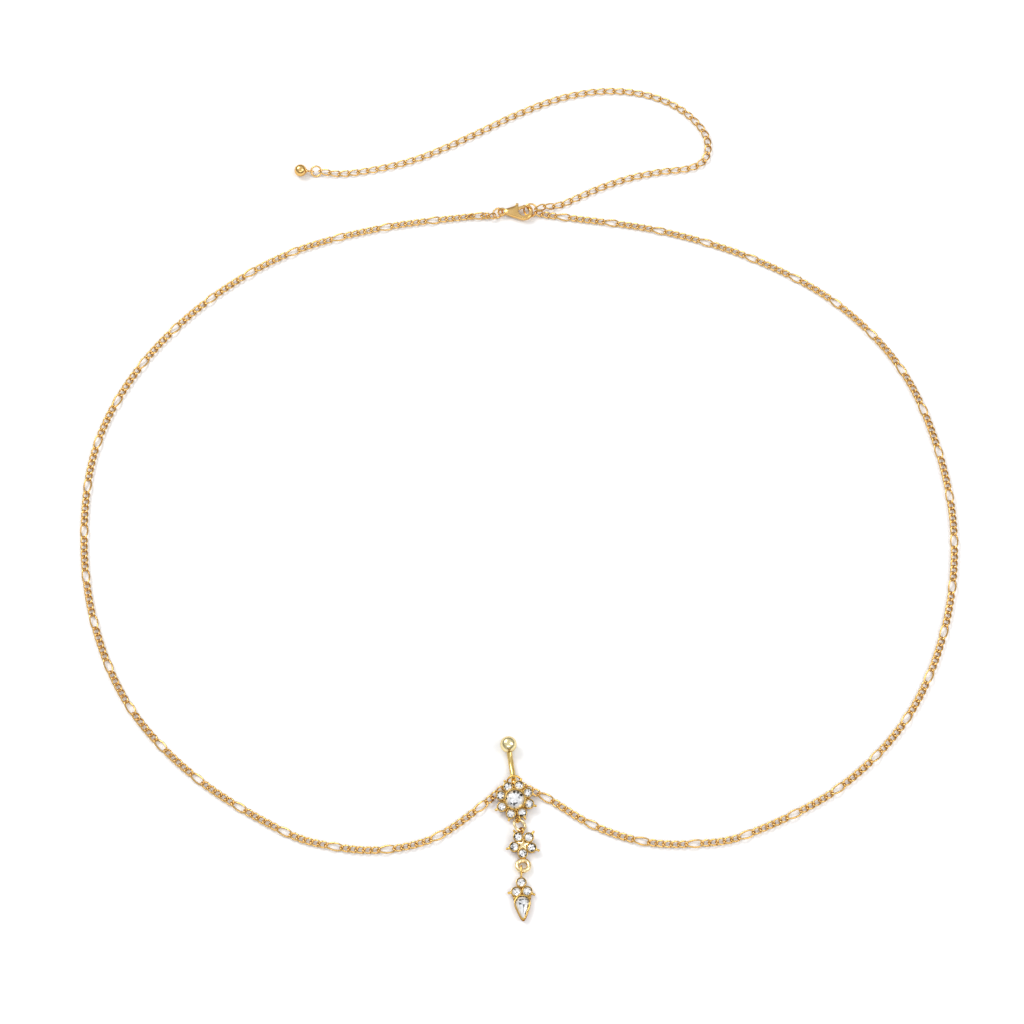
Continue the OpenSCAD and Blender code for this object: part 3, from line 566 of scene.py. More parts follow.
def metal_piece(name, bm, golds, node, body="waist_chain"):
    """Closes up a shaped piece, shades it, and puts it in the place of its solid."""
    bmesh.ops.remove_doubles(bm, verts=bm.verts, dist=0.001 * MM)
    bmesh.ops.recalc_face_normals(bm, faces=bm.faces)
    obj = mesh_object(name, bm, *golds)
    obj.data.shade_smooth()
    obj.data.set_sharp_from_angle(angle=SHARP_FROM)
    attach(obj, body)
    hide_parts(node)
    print(name, len(obj.data.polygons), "faces for", node)


print("edges over", round(degrees(SHARP_FROM)), "degrees stay sharp")

# %% Five jump rings
RING_WIRE = 0.6
FINE_CUT = 0.05
# name, node, width, wire, centre, turn, tilt and roll, and the angle of the cut
JUMP_RINGS = [
    ("cut_clasp_ring", "clasp_ring", 4.0, RING_WIRE, (-6.8, 99.0, 1.772), (30, 60, 0), 80),
    ("cut_end_ring", "end_ring", 5.0, RING_WIRE, (4.2, 100.0, 2.034), (0, 52, 0), 75),
    ("cut_tag_ring", "tag_ring", 4.0, RING_WIRE, (-67.9, 115.8, 1.393), (0, 40, 0), 100),
    ("cut_navel_ring", "navel_ring", 4.8, RING_WIRE, (-1.35, -105.2, 1.785), (0, 45, 0), -90),
    ("cut_drop_ring", "drop_ring", 4.7, 0.8, (0.316, -119.123, 1.51), (16, 0, 34), 10),
]
# The drop ring takes the star's pale gold as a painted highlight.
RING_GOLDS = {"cut_navel_ring": setting_gold, "cut_drop_ring": star_and_highlight_gold}
for name, node, width, wire, centre, lean, cut_angle in JUMP_RINGS:
    bm = bmesh.new()
    wire_ring(bm, width, wire, put(centre, *lean), cut=FINE_CUT, first=cut_angle)
    metal_piece(name, bm, [RING_GOLDS.get(name, fitting_gold)], node)

# %% [markdown]
# ## Lobster clasp
# The claw and its lever are small castings, tumbled until no edge is sharp. Their solids
# already have the real outline, with the slot and the pin. So each one is copied, its loose
# triangles are merged back into whole faces, and its outer edges are bevelled round. The
# slot and the bores keep their plain edges, so the lever still fits between them: an edge
# is chosen by its distance from the middle of the clasp's thickness.

# %% Softened copy of a solid
CLASP_MIDDLE = 1.6
MERGE, FLAT_UNDER, ROUND_FROM = 0.002, radians(1), radians(50)


def at_level(edge, low, high):
    """True for an edge that lies flat, between two distances from the clasp's middle."""
    lifts = [abs(vert.co.z / MM - CLASP_MIDDLE) for vert in edge.verts]
    return low < min(lifts) and max(lifts) < high


def softened_copy(node, rules, segments=3):
    """A merged copy of a solid. A rule gives the level of its edges and their bevel in mm."""
    bm = bmesh.new()
    bm.from_mesh(nodes[node].data)
    bmesh.ops.remove_doubles(bm, verts=bm.verts, dist=MERGE * MM)
    bmesh.ops.dissolve_limit(bm, angle_limit=FLAT_UNDER, verts=bm.verts, edges=bm.edges)
    for level, width in rules:
        edges = [edge for edge in bm.edges if len(edge.link_faces) == 2 and edge.is_convex
                 and edge.calc_face_angle() > ROUND_FROM and at_level(edge, *level)]
        bmesh.ops.bevel(bm, geom=edges, offset=width * MM, offset_type="OFFSET",
                        segments=segments, profile=0.5, affect="EDGES", material=-1,
                        clamp_overlap=False)
        print(node, len(edges), "edges rounded by", width, "mm")
    return bm


# Levels in millimetres from the clasp's middle, and the width of the bevel there
CLAW_RIM = ((0.7, 0.9), 0.3)
EYE_RIM = ((0.4, 0.4401), 0.16)
LEVER_RIM = ((0.3, 0.4), 0.14)
print("bevels of", CLAW_RIM[1], EYE_RIM[1], "and", LEVER_RIM[1], "mm")

# %% [markdown]
# ## Domed back of the claw
# The claw's upper side isn't flat. It swells gently over the body and thins out towards the
# ring that it holds, and that swell takes the long highlight across the clasp. A subdivision
# modifier would pull the whole outline in, so the flat top is cut into a fine grid instead,
# and each point of it is lifted by how far it lies from the rim. The rim itself stays put.

# %% Flat top and its rim
DOME_RISE, DOME_REACH, DOME_GRID = 0.3, 1.3, 0.3
# The lift starts at the first X and is whole at the second, in millimetres.
DOME_ENDS = (0.4, -0.8)
TOP_ABOVE = 0.7


def top_faces(bm):
    return [face for face in bm.faces if face.normal.z > 0.999
            and face.calc_center_median().z > (CLASP_MIDDLE + TOP_ABOVE) * MM]


def rim_lines(bm):
    """Ends of the edges where the flat top stops, seen from above."""
    top = set(top_faces(bm))
    return [[Vector((vert.co.x, vert.co.y, 0)) for vert in edge.verts] for edge in bm.edges
            if sum(face in top for face in edge.link_faces) == 1]


def rim_distance(spot, rim):
    """The least distance from a spot to the lines of the rim, in metres."""
    gaps = []
    for a, b in rim:
        share = intersect_point_line(spot, a, b)[1]
        gaps.append((spot - a.lerp(b, min(1, max(0, share)))).length)
    return min(gaps)


print("the dome rises", DOME_RISE, "mm over its first", DOME_REACH, "mm from the rim")


# %% Claw with its dome
def raise_dome(bm):
    """Cuts the flat top into a grid and lifts its points with their distance from the rim."""
    rim = rim_lines(bm)
    for axis in (Vector((1, 0, 0)), Vector((0, 1, 0))):
        spots = [axis.dot(vert.co) for face in top_faces(bm) for vert in face.verts]
        for k in range(1, int((max(spots) - min(spots)) / (DOME_GRID * MM)) + 1):
            top = top_faces(bm)
            geom = dict.fromkeys(item for face in top
                                 for item in (*face.verts, *face.edges, face))
            bmesh.ops.bisect_plane(bm, geom=list(geom), plane_no=axis,
                                   plane_co=axis * (min(spots) + k * DOME_GRID * MM))
    top = top_faces(bm)
    points = dict.fromkeys(vert for face in top for vert in face.verts)
    bmesh.ops.triangulate(bm, faces=top)
    for vert in points:
        away = rim_distance(Vector((vert.co.x, vert.co.y, 0)), rim)
        inwards = min(1, away / (DOME_REACH * MM))
        fade = (vert.co.x / MM - DOME_ENDS[0]) / (DOME_ENDS[1] - DOME_ENDS[0])
        vert.co.z += DOME_RISE * MM * sin(inwards * pi / 2) * min(1, max(0, fade))
    print(len(points), "points of the claw's top lifted")


bm = softened_copy("clasp_body", [CLAW_RIM, EYE_RIM])
bm.normal_update()
raise_dome(bm)
metal_piece("cast_claw", bm, [fitting_gold], "clasp_body")

# %% Lever
bm = softened_copy("clasp_lever", [LEVER_RIM])
metal_piece("cast_lever", bm, [fitting_gold], "clasp_lever", body="lever")

# %% [markdown]
# ## Tag ball
# The extender ends in a polished ball with a collar, a neck and an eye, turned and soldered
# on one line. A lathe makes such a shape from half of its outline, and so does a spin: one
# profile of radius and height gives ball, collar and neck together. The eye is a ring of
# thinner wire that leans against the tag ring.

# %% Turning on a lathe
def lathe(bm, profile, place, steps=48):
    """Spins a profile of (radius, height) points in millimetres about the Z axis of place."""
    line = [bm.verts.new(place @ (Vector((r, 0, z)) * MM)) for r, z in profile]
    edges = [bm.edges.new(pair) for pair in zip(line, line[1:])]
    bmesh.ops.spin(bm, geom=line + edges, cent=place.translation,
                   axis=place.to_3x3() @ Vector((0, 0, 1)), dvec=(0, 0, 0),
                   angle=2 * pi, steps=steps, use_merge=True, use_duplicate=False)


def arc(centre, radius, start, end, steps):
    """Points of a round corner in a profile, from one angle to another in degrees."""
    return [(centre[0] + radius * cos(radians(start + (end - start) * i / steps)),
             centre[1] + radius * sin(radians(start + (end - start) * i / steps)))
            for i in range(steps + 1)]


print("a round corner of 4 steps has", len(arc((0, 0), 1, 0, 90, 4)), "points")

# %% Ball, collar, neck and eye
TAG_EYE = (-69.6, 115.8, 1.393)
TAG_EYE_WIDTH, TAG_EYE_WIRE, TAG_EYE_LEAN = 2.2, 0.5, -50
# The line from the eye to the ball's centre falls by these degrees over these millimetres.
TAG_DROP, TAG_REACH = 9.706, 3.6
to_ball = put(TAG_EYE) @ Matrix.Rotation(radians(TAG_DROP), 4, "Y")
ball_line = (to_ball @ Matrix.Translation((-TAG_REACH * MM, 0, 0))
             @ Matrix.Rotation(pi / 2, 4, "Y"))
TAG_BALL = arc((0, 0), 2.0, -90, 66, 24)
TAG_COLLAR = [(0.78, 1.84)] + arc((0.6, 2.0), 0.15, 0, 90, 3)
TAG_NECK = [(0.34, 2.18), (0.3, 2.3), (0.3, 2.75), (0, 2.75)]
bm = bmesh.new()
lathe(bm, TAG_BALL + TAG_COLLAR + TAG_NECK, ball_line)
wire_ring(bm, TAG_EYE_WIDTH, TAG_EYE_WIRE,
          to_ball @ Matrix.Rotation(radians(TAG_EYE_LEAN), 4, "X"), steps=32, sides=12)
metal_piece("turned_tag_ball", bm, [fitting_gold], "tag_ball")

# %% [markdown]
# ## The curved bar and its ball
# A navel bar is a bent rod with a ball that unscrews from its upper end. Its lower end is
# round and passes behind the jump ring into the flower's rim. A circle is spun about the
# middle of the bend, so the rod keeps one thickness all along. Its free end is then drawn
# in step by step to a round tip.

# %% Places along the bar
BAR_WIDTH, BEND_RADIUS, CHORD, BAR_HEADING = 1.6, 14.0, 12.7, 8
BALL_WIDTH, POST_WIDTH, BORE_WIDTH, POST_LENGTH = 5.0, 1.2, 1.3, 2.8
STONE_GAP = 0.06
bar_way = Vector((sin(radians(BAR_HEADING)), -cos(radians(BAR_HEADING)), 0))
upright = Vector((0, 0, 1))
end_angle = asin(CHORD / 2 / BEND_RADIUS)
ball_centre = Vector((-1.33, -105.68, BALL_WIDTH / 2)) - bar_way * CHORD
bend_centre = ball_centre + bar_way * CHORD / 2 + upright * BEND_RADIUS * cos(end_angle)
start_angle = end_angle - (BALL_WIDTH / 2 + STONE_GAP) / BEND_RADIUS


def bar_section(angle):
    """Place of the rod's cross section at an angle from the lowest point of the bend."""
    out = bar_way * sin(angle) - upright * cos(angle)
    ahead = bar_way * cos(angle) + upright * sin(angle)
    side = ahead.cross(out)
    turn = Matrix((out, side, ahead)).transposed().to_4x4()
    return Matrix.Translation((bend_centre + out * BEND_RADIUS) * MM) @ turn


print("bar ends", round(degrees(end_angle), 2), "degrees from its lowest point")


# %% Curved rod with its round tip
ROD_SIDES, ROD_STEPS, TIP_STEPS = 24, 40, 6


def build_rod(bm):
    tip = bmesh.ops.create_circle(bm, segments=ROD_SIDES, radius=BAR_WIDTH / 2 * MM,
                                  matrix=bar_section(end_angle))["verts"]
    edges = [edge for edge in bm.edges if edge.verts[0] in tip and edge.verts[1] in tip]
    ahead = bar_section(end_angle).to_3x3() @ Vector((0, 0, 1))
    centre = bar_section(end_angle).translation
    rod = bmesh.ops.spin(bm, geom=tip + edges, cent=bend_centre * MM,
                         axis=bar_way.cross(upright), dvec=(0, 0, 0),
                         angle=-(start_angle + end_angle), steps=ROD_STEPS,
                         use_merge=False, use_duplicate=False)
    last = [item for item in rod["geom_last"] if isinstance(item, bmesh.types.BMEdge)]
    bmesh.ops.holes_fill(bm, edges=last, sides=0)
    for lift in range(1, TIP_STEPS):
        angle = radians(90 * lift / TIP_STEPS)
        step = bmesh.ops.extrude_edge_only(bm, edges=edges)["geom"]
        verts = [item for item in step if isinstance(item, bmesh.types.BMVert)]
        edges = [item for item in step if isinstance(item, bmesh.types.BMEdge)
                 and all(vert in verts for vert in item.verts)]
        for vert in verts:
            away = vert.co - centre
            flat = away - ahead * away.dot(ahead)
            vert.co = centre + (flat.normalized() * cos(angle)
                                + ahead * sin(angle)) * BAR_WIDTH / 2 * MM
    bmesh.ops.holes_fill(bm, edges=edges, sides=0)
    print("rod with", len(bm.faces), "faces")


# %% [markdown]
# ## Post and ball
# The ball holds on a thin post at the end of the rod. On a real bar that post has a thread,
# too fine to see and hidden in the ball, so a plain post with a chamfered end is enough. The
# ball is one profile with a bore in it, and a small bevel softens the mouth of that bore.

# %% Post inside the ball
bar_start = bar_section(-end_angle).to_3x3() @ Vector((0, 0, 1))
post_line = (Matrix.Translation(ball_centre * MM)
             @ bar_start.to_track_quat("Z", "Y").to_matrix().to_4x4())


def build_post(bm):
    """A post that starts short of the bore's end and runs a little way into the rod."""
    low, high = BALL_WIDTH / 2 - POST_LENGTH + 0.1, BALL_WIDTH / 2 + 0.3
    r, chamfer = POST_WIDTH / 2, 0.15
    lathe(bm, [(0, low), (r - chamfer, low), (r, low + chamfer), (r, high), (0, high)],
          post_line, steps=ROD_SIDES)


print("post leans", round(degrees(bar_start.angle(upright)), 1), "degrees from upright")

# %% Ball with its bored mouth
MOUTH_BEVEL = 0.08
half_ball, half_bore = BALL_WIDTH / 2, BORE_WIDTH / 2
mouth = degrees(acos((half_bore + MOUTH_BEVEL) / half_ball))
BALL_PROFILE = (arc((0, 0), half_ball, -90, mouth, 30)
                + [(half_bore, half_ball * sin(radians(mouth)) - MOUTH_BEVEL),
                   (half_bore, half_ball - POST_LENGTH), (0, half_ball - POST_LENGTH)])
bm = bmesh.new()
lathe(bm, BALL_PROFILE, post_line)
metal_piece("bored_ball", bm, [pale_gold], "bar_ball", body="ball")

# %% [markdown]
# ## Cups, prongs and beads
# Each stone sits in a collet, a small cup that is lathe-turned with a tapered foot, a ledge
# for the stone and a rolled lip over its girdle. Prongs and beads are melted wire ends: a
# short rod that closes in a dome. All of them are spun from profiles, in any number, into
# one bmesh for each casting. A cup's seat follows from its stone: metal and stone share
# these sizes, and a thin gap is left between them all round.

# %% Stone sizes shared by cups and stones
# Height of crown and girdle and width of the table, as shares of a stone's width
CROWN, GIRDLE, TABLE = 0.16, 0.03, 0.56
CUP_WALL, BACK = 0.25, 0.3
CUP_HEIGHT, BIG_CUP_HEIGHT = 1.7, 2.5
BIG_STONE, FLOWER_STONE, STAR_STONE, DROP_STONE = 5.7, 2.5, 2.5, 2.6
WIRE_BEAD = 0.7
# The plates end just below the stones' points.
PLATE = 0.36


def seat_height(height, width):
    """Level of a stone's girdle in a cup, so that its crown ends near the cup's lip."""
    return height - width * CROWN


def stone_depth(height, width, share=0.4):
    """How far a stone reaches below its girdle, so that metal stays behind it."""
    return min(width * share, seat_height(height, width) - BACK - 2 * STONE_GAP)


def cup_width(stone):
    return stone + 2 * STONE_GAP + 2 * CUP_WALL


print("small cup", round(cup_width(FLOWER_STONE), 2), "mm wide, large cup",
      round(cup_width(BIG_STONE), 2), "mm")


# %% Turned cup
def stone_cup(bm, stone, height, place, steps=40):
    """Foot, tapered wall, rolled lip, ledge and the cone that takes the stone's point."""
    out, mouth = cup_width(stone) / 2, stone / 2 + STONE_GAP
    seat = seat_height(height, stone) - STONE_GAP
    deep = stone_depth(height, stone) + STONE_GAP
    profile = [(0, 0), (out * 0.86, 0), (out * 0.92, 0.06), (out - 0.02, height * 0.55)]
    profile += arc((out - 0.1, height - 0.1), 0.1, 0, 90, 4)
    profile += [(mouth + 0.06, height), (mouth, height - 0.06), (mouth, seat),
                (mouth * 0.08, seat - deep), (0, seat - deep)]
    lathe(bm, profile, place, steps=steps)


print("small stones sit", round(seat_height(CUP_HEIGHT, FLOWER_STONE), 2),
      "mm over the foot of their cups")


# %% Prong, bead and plate
def prong(bm, length, place):
    """A claw along the X axis of place: a broad root, a waist and a round tip."""
    r = WIRE_BEAD / 2
    lathe(bm, [(0, 0), (r * 1.4, 0), (r * 1.3, 0.15), (r * 0.98, length * 0.6)]
          + arc((0, length), r * 1.1, -10, 90, 7),
          place @ Matrix.Rotation(pi / 2, 4, "Y"), steps=16)


def bead(bm, height, place, foot=0.3):
    """A bead on its post. height is the level of the bead's centre."""
    r = WIRE_BEAD / 2
    lathe(bm, [(0, foot), (r * 0.95, foot), (r * 0.95, height - 0.05)]
          + arc((0, height), r, 0, 90, 6), place, steps=16)


def round_plate(bm, radius, thickness, place):
    """A disc with a softened upper edge that joins the cups from behind."""
    edge = 0.12
    lathe(bm, [(0, 0), (radius - edge, 0), (radius, edge)]
          + arc((radius - edge, thickness - edge), edge, 0, 90, 3) + [(0, thickness)], place)


print("prongs and beads of", WIRE_BEAD, "mm wire")


# %% [markdown]
# ## Round a setting
# Cups, prongs and beads stand in circles, so their places are spokes: a turn about the
# middle of the setting, then a step outwards. The gaps between the cups are deep and mirror
# only other gold, so they get painted shade. A face's height over the foot of its setting
# tells whether it lies in such a gap, and that height chooses the face's material.

# %% Places and painted shade round a setting
def spoke(angle, reach=0.0, lift=0.0):
    """Place at a distance along a direction in degrees, turned to face outwards."""
    return Matrix.Rotation(radians(angle), 4, "Z") @ Matrix.Translation(
        Vector((reach, 0, lift)) * MM)


def paint_shade_by_height(faces, place, level, low, high):
    """Faces under a level of place get one slot, the painted shade, and those above it another.
    """
    back = place.inverted()
    for face in faces:
        sunk = (back @ face.calc_center_median()).z < level * MM
        face.material_index = low if sunk else high


# Heights and sizes shared by the settings, and the order of their materials
PRONG_SUNK, PRONG_RISE = 0.2, CUP_HEIGHT - WIRE_BEAD * 0.7
# Faces of a setting lower than this, in millimetres, get the painted shade.
PAINTED_SHADE_BELOW = 1.0
SMALL_LOOP = (2.5, 0.6)
# Slots: the cups' gold, the painted shade of the gaps, and the bar's or the star's gold.
CUP_SLOT, PAINTED_SHADE_SLOT, BODY_SLOT = 0, 1, 2
print("prongs stand at", round(PRONG_RISE, 2), "mm, recesses end at", PAINTED_SHADE_BELOW, "mm")

# %% [markdown]
# ## The large flower
# Eight small cups stand round a large one, all soldered to a plate, with beads in the
# corners round the large stone and prongs between most of the small cups. Bar, flower and
# the small loop below it are one soldered piece, so they are built into one mesh. It takes
# three golds: one for the cups, a brown one as painted shade for all that lies deep between
# them, and the mirror polish of the bar.

# %% Places of the large flower
FLOWER_CUPS, FLOWER_RADIUS = 8, 4.5
FLOWER_STEP = 360 / FLOWER_CUPS
# The gaps between two cups that have a prong. The others face the bar and the loop.
FLOWER_PRONGS = [1, 2, 4, 5, 6, 7]
FLOWER_PRONG_LENGTH, BEAD_INSET = 0.5, 0.33
flower_place = (put((-1.1, -111, 1.247)) @ Matrix.Rotation(radians(12), 4, "X")
                @ Matrix.Rotation(radians(6), 4, "Z"))
flower_angles = [180 / FLOWER_CUPS + k * 360 / FLOWER_CUPS for k in range(FLOWER_CUPS)]
flower_rim = FLOWER_RADIUS + cup_width(FLOWER_STONE) / 2
flower_inside = FLOWER_RADIUS - cup_width(FLOWER_STONE) / 2
print("flower", round(2 * flower_rim, 2), "mm across its cups")

# %% Bar, flower and lower loop
bm = bmesh.new()
build_rod(bm)
build_post(bm)
rod_faces = len(bm.faces)
round_plate(bm, FLOWER_RADIUS, PLATE, flower_place)
stone_cup(bm, BIG_STONE, BIG_CUP_HEIGHT, flower_place, steps=64)
for angle in flower_angles:
    stone_cup(bm, FLOWER_STONE, CUP_HEIGHT, flower_place @ spoke(angle, FLOWER_RADIUS))
for k in FLOWER_PRONGS:
    prong(bm, FLOWER_PRONG_LENGTH + PRONG_SUNK,
          flower_place @ spoke((k + 0.5) * FLOWER_STEP, flower_rim - PRONG_SUNK, PRONG_RISE))
for k in range(FLOWER_CUPS):
    bead(bm, CUP_HEIGHT, flower_place @ spoke(k * FLOWER_STEP, flower_inside + BEAD_INSET))
wire_ring(bm, *SMALL_LOOP, put((-0.233, -117.169, 1.51), 8, 0, -53), steps=32, sides=12)
# The faces low in the flower, deep between its cups, get the painted shade.
paint_shade_by_height(list(bm.faces)[rod_faces:], flower_place, PAINTED_SHADE_BELOW, PAINTED_SHADE_SLOT, CUP_SLOT)
for face in list(bm.faces)[:rod_faces]:
    face.material_index = BODY_SLOT
metal_piece("flower_on_bar", bm, [setting_gold, painted_shade_gold, bar_gold], "navel_bar")

# %% [markdown]
# ## The star flower
# Five cups stand round a smooth star with a faint ridge down each arm. A circle of ten
# points becomes a star when every second point is drawn in; it is then extruded, and its
# top is inset and raised to give the ridges. Its arms reach into the gaps between the cups.
# Four of the cups have a prong; the fifth, nearest the drop, has none. There a heavy loop
# of thick wire is cast on the flower's foot. It takes the star's pale satin gold, which on the
# loop is a painted highlight.

# %% Raised star
STAR_CUPS, STAR_RADIUS = 5, 2.756
# Radius of the tips and of the corners between them
STAR_OUT, STAR_IN = 1.984, 0.893
# Depth of the star's sides under the cups' lips, inset of its top, rise of that inset, and
# rise of the peak over it
STAR_DOWN, STAR_INSET, STAR_BEVEL, STAR_PEAK = 0.35, 0.14, 0.12, 0.2


def raised_star(bm, place):
    """A circle's ten points drawn to a star, extruded, and raised to a peak."""
    points = bmesh.ops.create_circle(bm, cap_ends=True, segments=2 * STAR_CUPS,
                                     radius=STAR_OUT * MM, matrix=place)["verts"]
    base = points[0].link_faces[0]
    centre = place.translation
    for vert in points[1::2]:
        vert.co = centre + (vert.co - centre) * STAR_IN / STAR_OUT
    up = place.to_3x3() @ Vector((0, 0, 1))
    top = bmesh.ops.extrude_face_region(bm, geom=[base])["geom"]
    bmesh.ops.translate(bm, vec=up * (CUP_HEIGHT - STAR_DOWN) * MM,
                        verts=[item for item in top if isinstance(item, bmesh.types.BMVert)])
    lid = [item for item in top if isinstance(item, bmesh.types.BMFace)]
    bmesh.ops.inset_region(bm, faces=lid, thickness=STAR_INSET * MM, depth=0)
    bmesh.ops.translate(bm, vec=up * STAR_BEVEL * MM, verts=lid[0].verts)
    peak = bmesh.ops.poke(bm, faces=lid)["verts"]
    bmesh.ops.translate(bm, vec=up * STAR_PEAK * MM, verts=peak)
    print("star of", len(points) // 2, "arms,", len(bm.faces), "faces")


# %% Star flower with its loops
STAR_PRONG_LENGTH = 0.7
HEAVY_LOOP = (4.95, 1.4)
star_place = (put((1.343, -125.35, 0.725)) @ Matrix.Rotation(radians(9), 4, "X")
              @ Matrix.Rotation(radians(-3), 4, "Z"))
star_angles = [-90 + k * 360 / STAR_CUPS for k in range(STAR_CUPS)]
bm = bmesh.new()
raised_star(bm, star_place)
star_faces = len(bm.faces)
round_plate(bm, STAR_RADIUS, PLATE, star_place)
for angle in star_angles:
    stone_cup(bm, STAR_STONE, CUP_HEIGHT, star_place @ spoke(angle, STAR_RADIUS))
for angle in star_angles[1:]:
    reach = STAR_RADIUS + cup_width(STAR_STONE) / 2 - PRONG_SUNK
    prong(bm, STAR_PRONG_LENGTH + PRONG_SUNK, star_place @ spoke(angle, reach, PRONG_RISE))
wire_ring(bm, *SMALL_LOOP, put((0.746, -121.102, 1.61), 8, 0, -45), steps=32, sides=12)
loop_start = len(bm.faces)
wire_ring(bm, *HEAVY_LOOP, put((1.343, -131.941, 1.053), 0, -9), steps=56)
star_and_foot = list(bm.faces)
# The faces low between the star's cups get the painted shade.
paint_shade_by_height(star_and_foot[star_faces:loop_start], star_place, PAINTED_SHADE_BELOW,
               PAINTED_SHADE_SLOT, CUP_SLOT)
# The star takes its own pale gold; on the heavy loop that gold is a painted highlight.
for face in star_and_foot[:star_faces] + star_and_foot[loop_start:]:
    face.material_index = BODY_SLOT
metal_piece("star_flower", bm, [setting_gold, painted_shade_gold, star_and_highlight_gold], "star_setting")

# %% [markdown]
# ## The pear drop
# One small cup over two, and a pear-shaped cup below them. The pear's outline is a circle
# whose lower half is drawn out to a point, the same curve for the cup and for its stone.
# Two small plates join the cups from behind. The upright eyelet is a ring pulled apart into
# two bends and two straight runs.

# %% Pear outline
PEAR_WIDTH, PEAR_LENGTH, PEAR_WALL = 4.2, 7.0, 0.35
# Depth of the stone as a share of its width, and how much its flanks draw in to the point
PEAR_DEPTH_SHARE, PEAR_PINCH = 0.3, 0.15


def draw_to_pear(verts, place, width, length):
    """Moves the points of a unit circle onto the pear's outline, keeping their height."""
    back = place.inverted()
    for vert in verts:
        local = back @ vert.co
        angle = atan2(local.y, local.x)
        low = min(0, sin(angle))
        local.x = width / 2 * cos(angle) * (1 - PEAR_PINCH * low * low) * MM
        local.y = (width / 2 * sin(angle) + (length - width) * low ** 3) * MM
        vert.co = place @ local


def pear_loop(bm, place, lift, width, length, sides=48):
    """A closed loop of edges on the pear's outline, at a height over its foot."""
    before = set(bm.edges)
    verts = bmesh.ops.create_circle(bm, segments=sides, radius=MM, matrix=place)["verts"]
    draw_to_pear(verts, place, width, length)
    up = place.to_3x3() @ Vector((0, 0, 1))
    bmesh.ops.translate(bm, vec=up * lift * MM, verts=verts)
    return [edge for edge in bm.edges if edge not in before]


print("pear of", PEAR_WIDTH, "by", PEAR_LENGTH, "mm")


# %% Pear-shaped cup
def pear_cup(bm, place):
    """Foot, wall, rolled lip, ledge and floor, as loops that are bridged in turn."""
    width, length = PEAR_WIDTH + 2 * STONE_GAP, PEAR_LENGTH + 2 * STONE_GAP
    wall, tip = 2 * PEAR_WALL, 2.4 * PEAR_WALL
    floor_at = seat_height(CUP_HEIGHT, PEAR_WIDTH) - STONE_GAP - stone_depth(
        CUP_HEIGHT, PEAR_WIDTH, PEAR_DEPTH_SHARE)
    # height of each loop in millimetres, and its share of the wall
    steps = [(0, 0.8), (0.1, 0.95), (CUP_HEIGHT - 0.12, 1), (CUP_HEIGHT - 0.03, 0.88),
             (CUP_HEIGHT, 0.6), (CUP_HEIGHT, 0.3), (CUP_HEIGHT - 0.06, 0.06),
             (floor_at, 0.0)]
    loops = [pear_loop(bm, place, lift, width + wall * share, length + tip * share)
             for lift, share in steps]
    for low, high in zip(loops, loops[1:]):
        bmesh.ops.bridge_loops(bm, edges=low + high)
    for end in (loops[0], loops[-1]):
        bmesh.ops.holes_fill(bm, edges=end, sides=0)
    print("pear cup with its floor at", round(floor_at, 2), "mm")


# %% Places on the drop
# Places of the second row's right cup and of the pear, from the first cup
DROP_ROW = (1.64, -2.887)
PEAR_Y = -6.448
DROP_PRONG_LENGTH = 0.7
DROP_PLATES = ((0, -1.9), (0, -3.9))
DROP_PLATE_RADIUS, DROP_PLATE = 1.1, 0.8
# side of the drop and angle of the prong there
DROP_PRONGS = ((-1, 185), (1, -28))
PEAR_BEAD = (2.36, PEAR_Y + 1.512)
drop_place = put((0.785, -137.451, 0.02), 3)
pear_place = drop_place @ Matrix.Translation(Vector((0, PEAR_Y, 0)) * MM)
drop_spots = [(0, 0), DROP_ROW, (-DROP_ROW[0], DROP_ROW[1])]


def drop_spot(x, y, lift=0.0):
    return drop_place @ Matrix.Translation(Vector((x, y, lift)) * MM)


print("drop with", len(drop_spots), "round stones over its pear")


# %% Upright eyelet
EYELET_WIDTH, EYELET_WIRE, EYELET_STRAIGHT, EYELET_STEPS = 2.7, 0.56, 1.415, 32
eyelet_place = put((0.79, -133.99, 1.37)) @ Matrix.Rotation(pi / 2, 4, "Y")


def long_eyelet(bm):
    """A ring that starts half a step round, so that no point lies where it is parted."""
    before = set(bm.verts)
    wire_ring(bm, EYELET_WIDTH, EYELET_WIRE, eyelet_place, first=180 / EYELET_STEPS,
              steps=EYELET_STEPS, sides=12)
    back = eyelet_place.inverted()
    along = eyelet_place.to_3x3() @ Vector((0, 1, 0)) * EYELET_STRAIGHT / 2 * MM
    for vert in [vert for vert in bm.verts if vert not in before]:
        vert.co += along if (back @ vert.co).y > 0 else -along
    print("eyelet", round(EYELET_WIDTH + EYELET_STRAIGHT, 2), "mm long")


# %% Drop with its eyelet, prongs and beads
bm = bmesh.new()
pear_cup(bm, pear_place)
for x, y in drop_spots:
    stone_cup(bm, DROP_STONE, CUP_HEIGHT, drop_spot(x, y))
for x, y in DROP_PLATES:
    round_plate(bm, DROP_PLATE_RADIUS, DROP_PLATE, drop_spot(x, y))
for side, angle in DROP_PRONGS:
    reach = cup_width(DROP_STONE) / 2 - PRONG_SUNK
    place = drop_spot(side * DROP_ROW[0], DROP_ROW[1], PRONG_RISE)
    prong(bm, DROP_PRONG_LENGTH + PRONG_SUNK, place @ spoke(angle, reach))
    bead(bm, CUP_HEIGHT, drop_spot(side * PEAR_BEAD[0], PEAR_BEAD[1]))
# The faces low between the drop's cups and on its plates get the painted shade.
paint_shade_by_height(bm.faces, drop_place, PAINTED_SHADE_BELOW, PAINTED_SHADE_SLOT, CUP_SLOT)
long_eyelet(bm)
metal_piece("pear_drop", bm, [setting_gold, painted_shade_gold], "drop_setting")

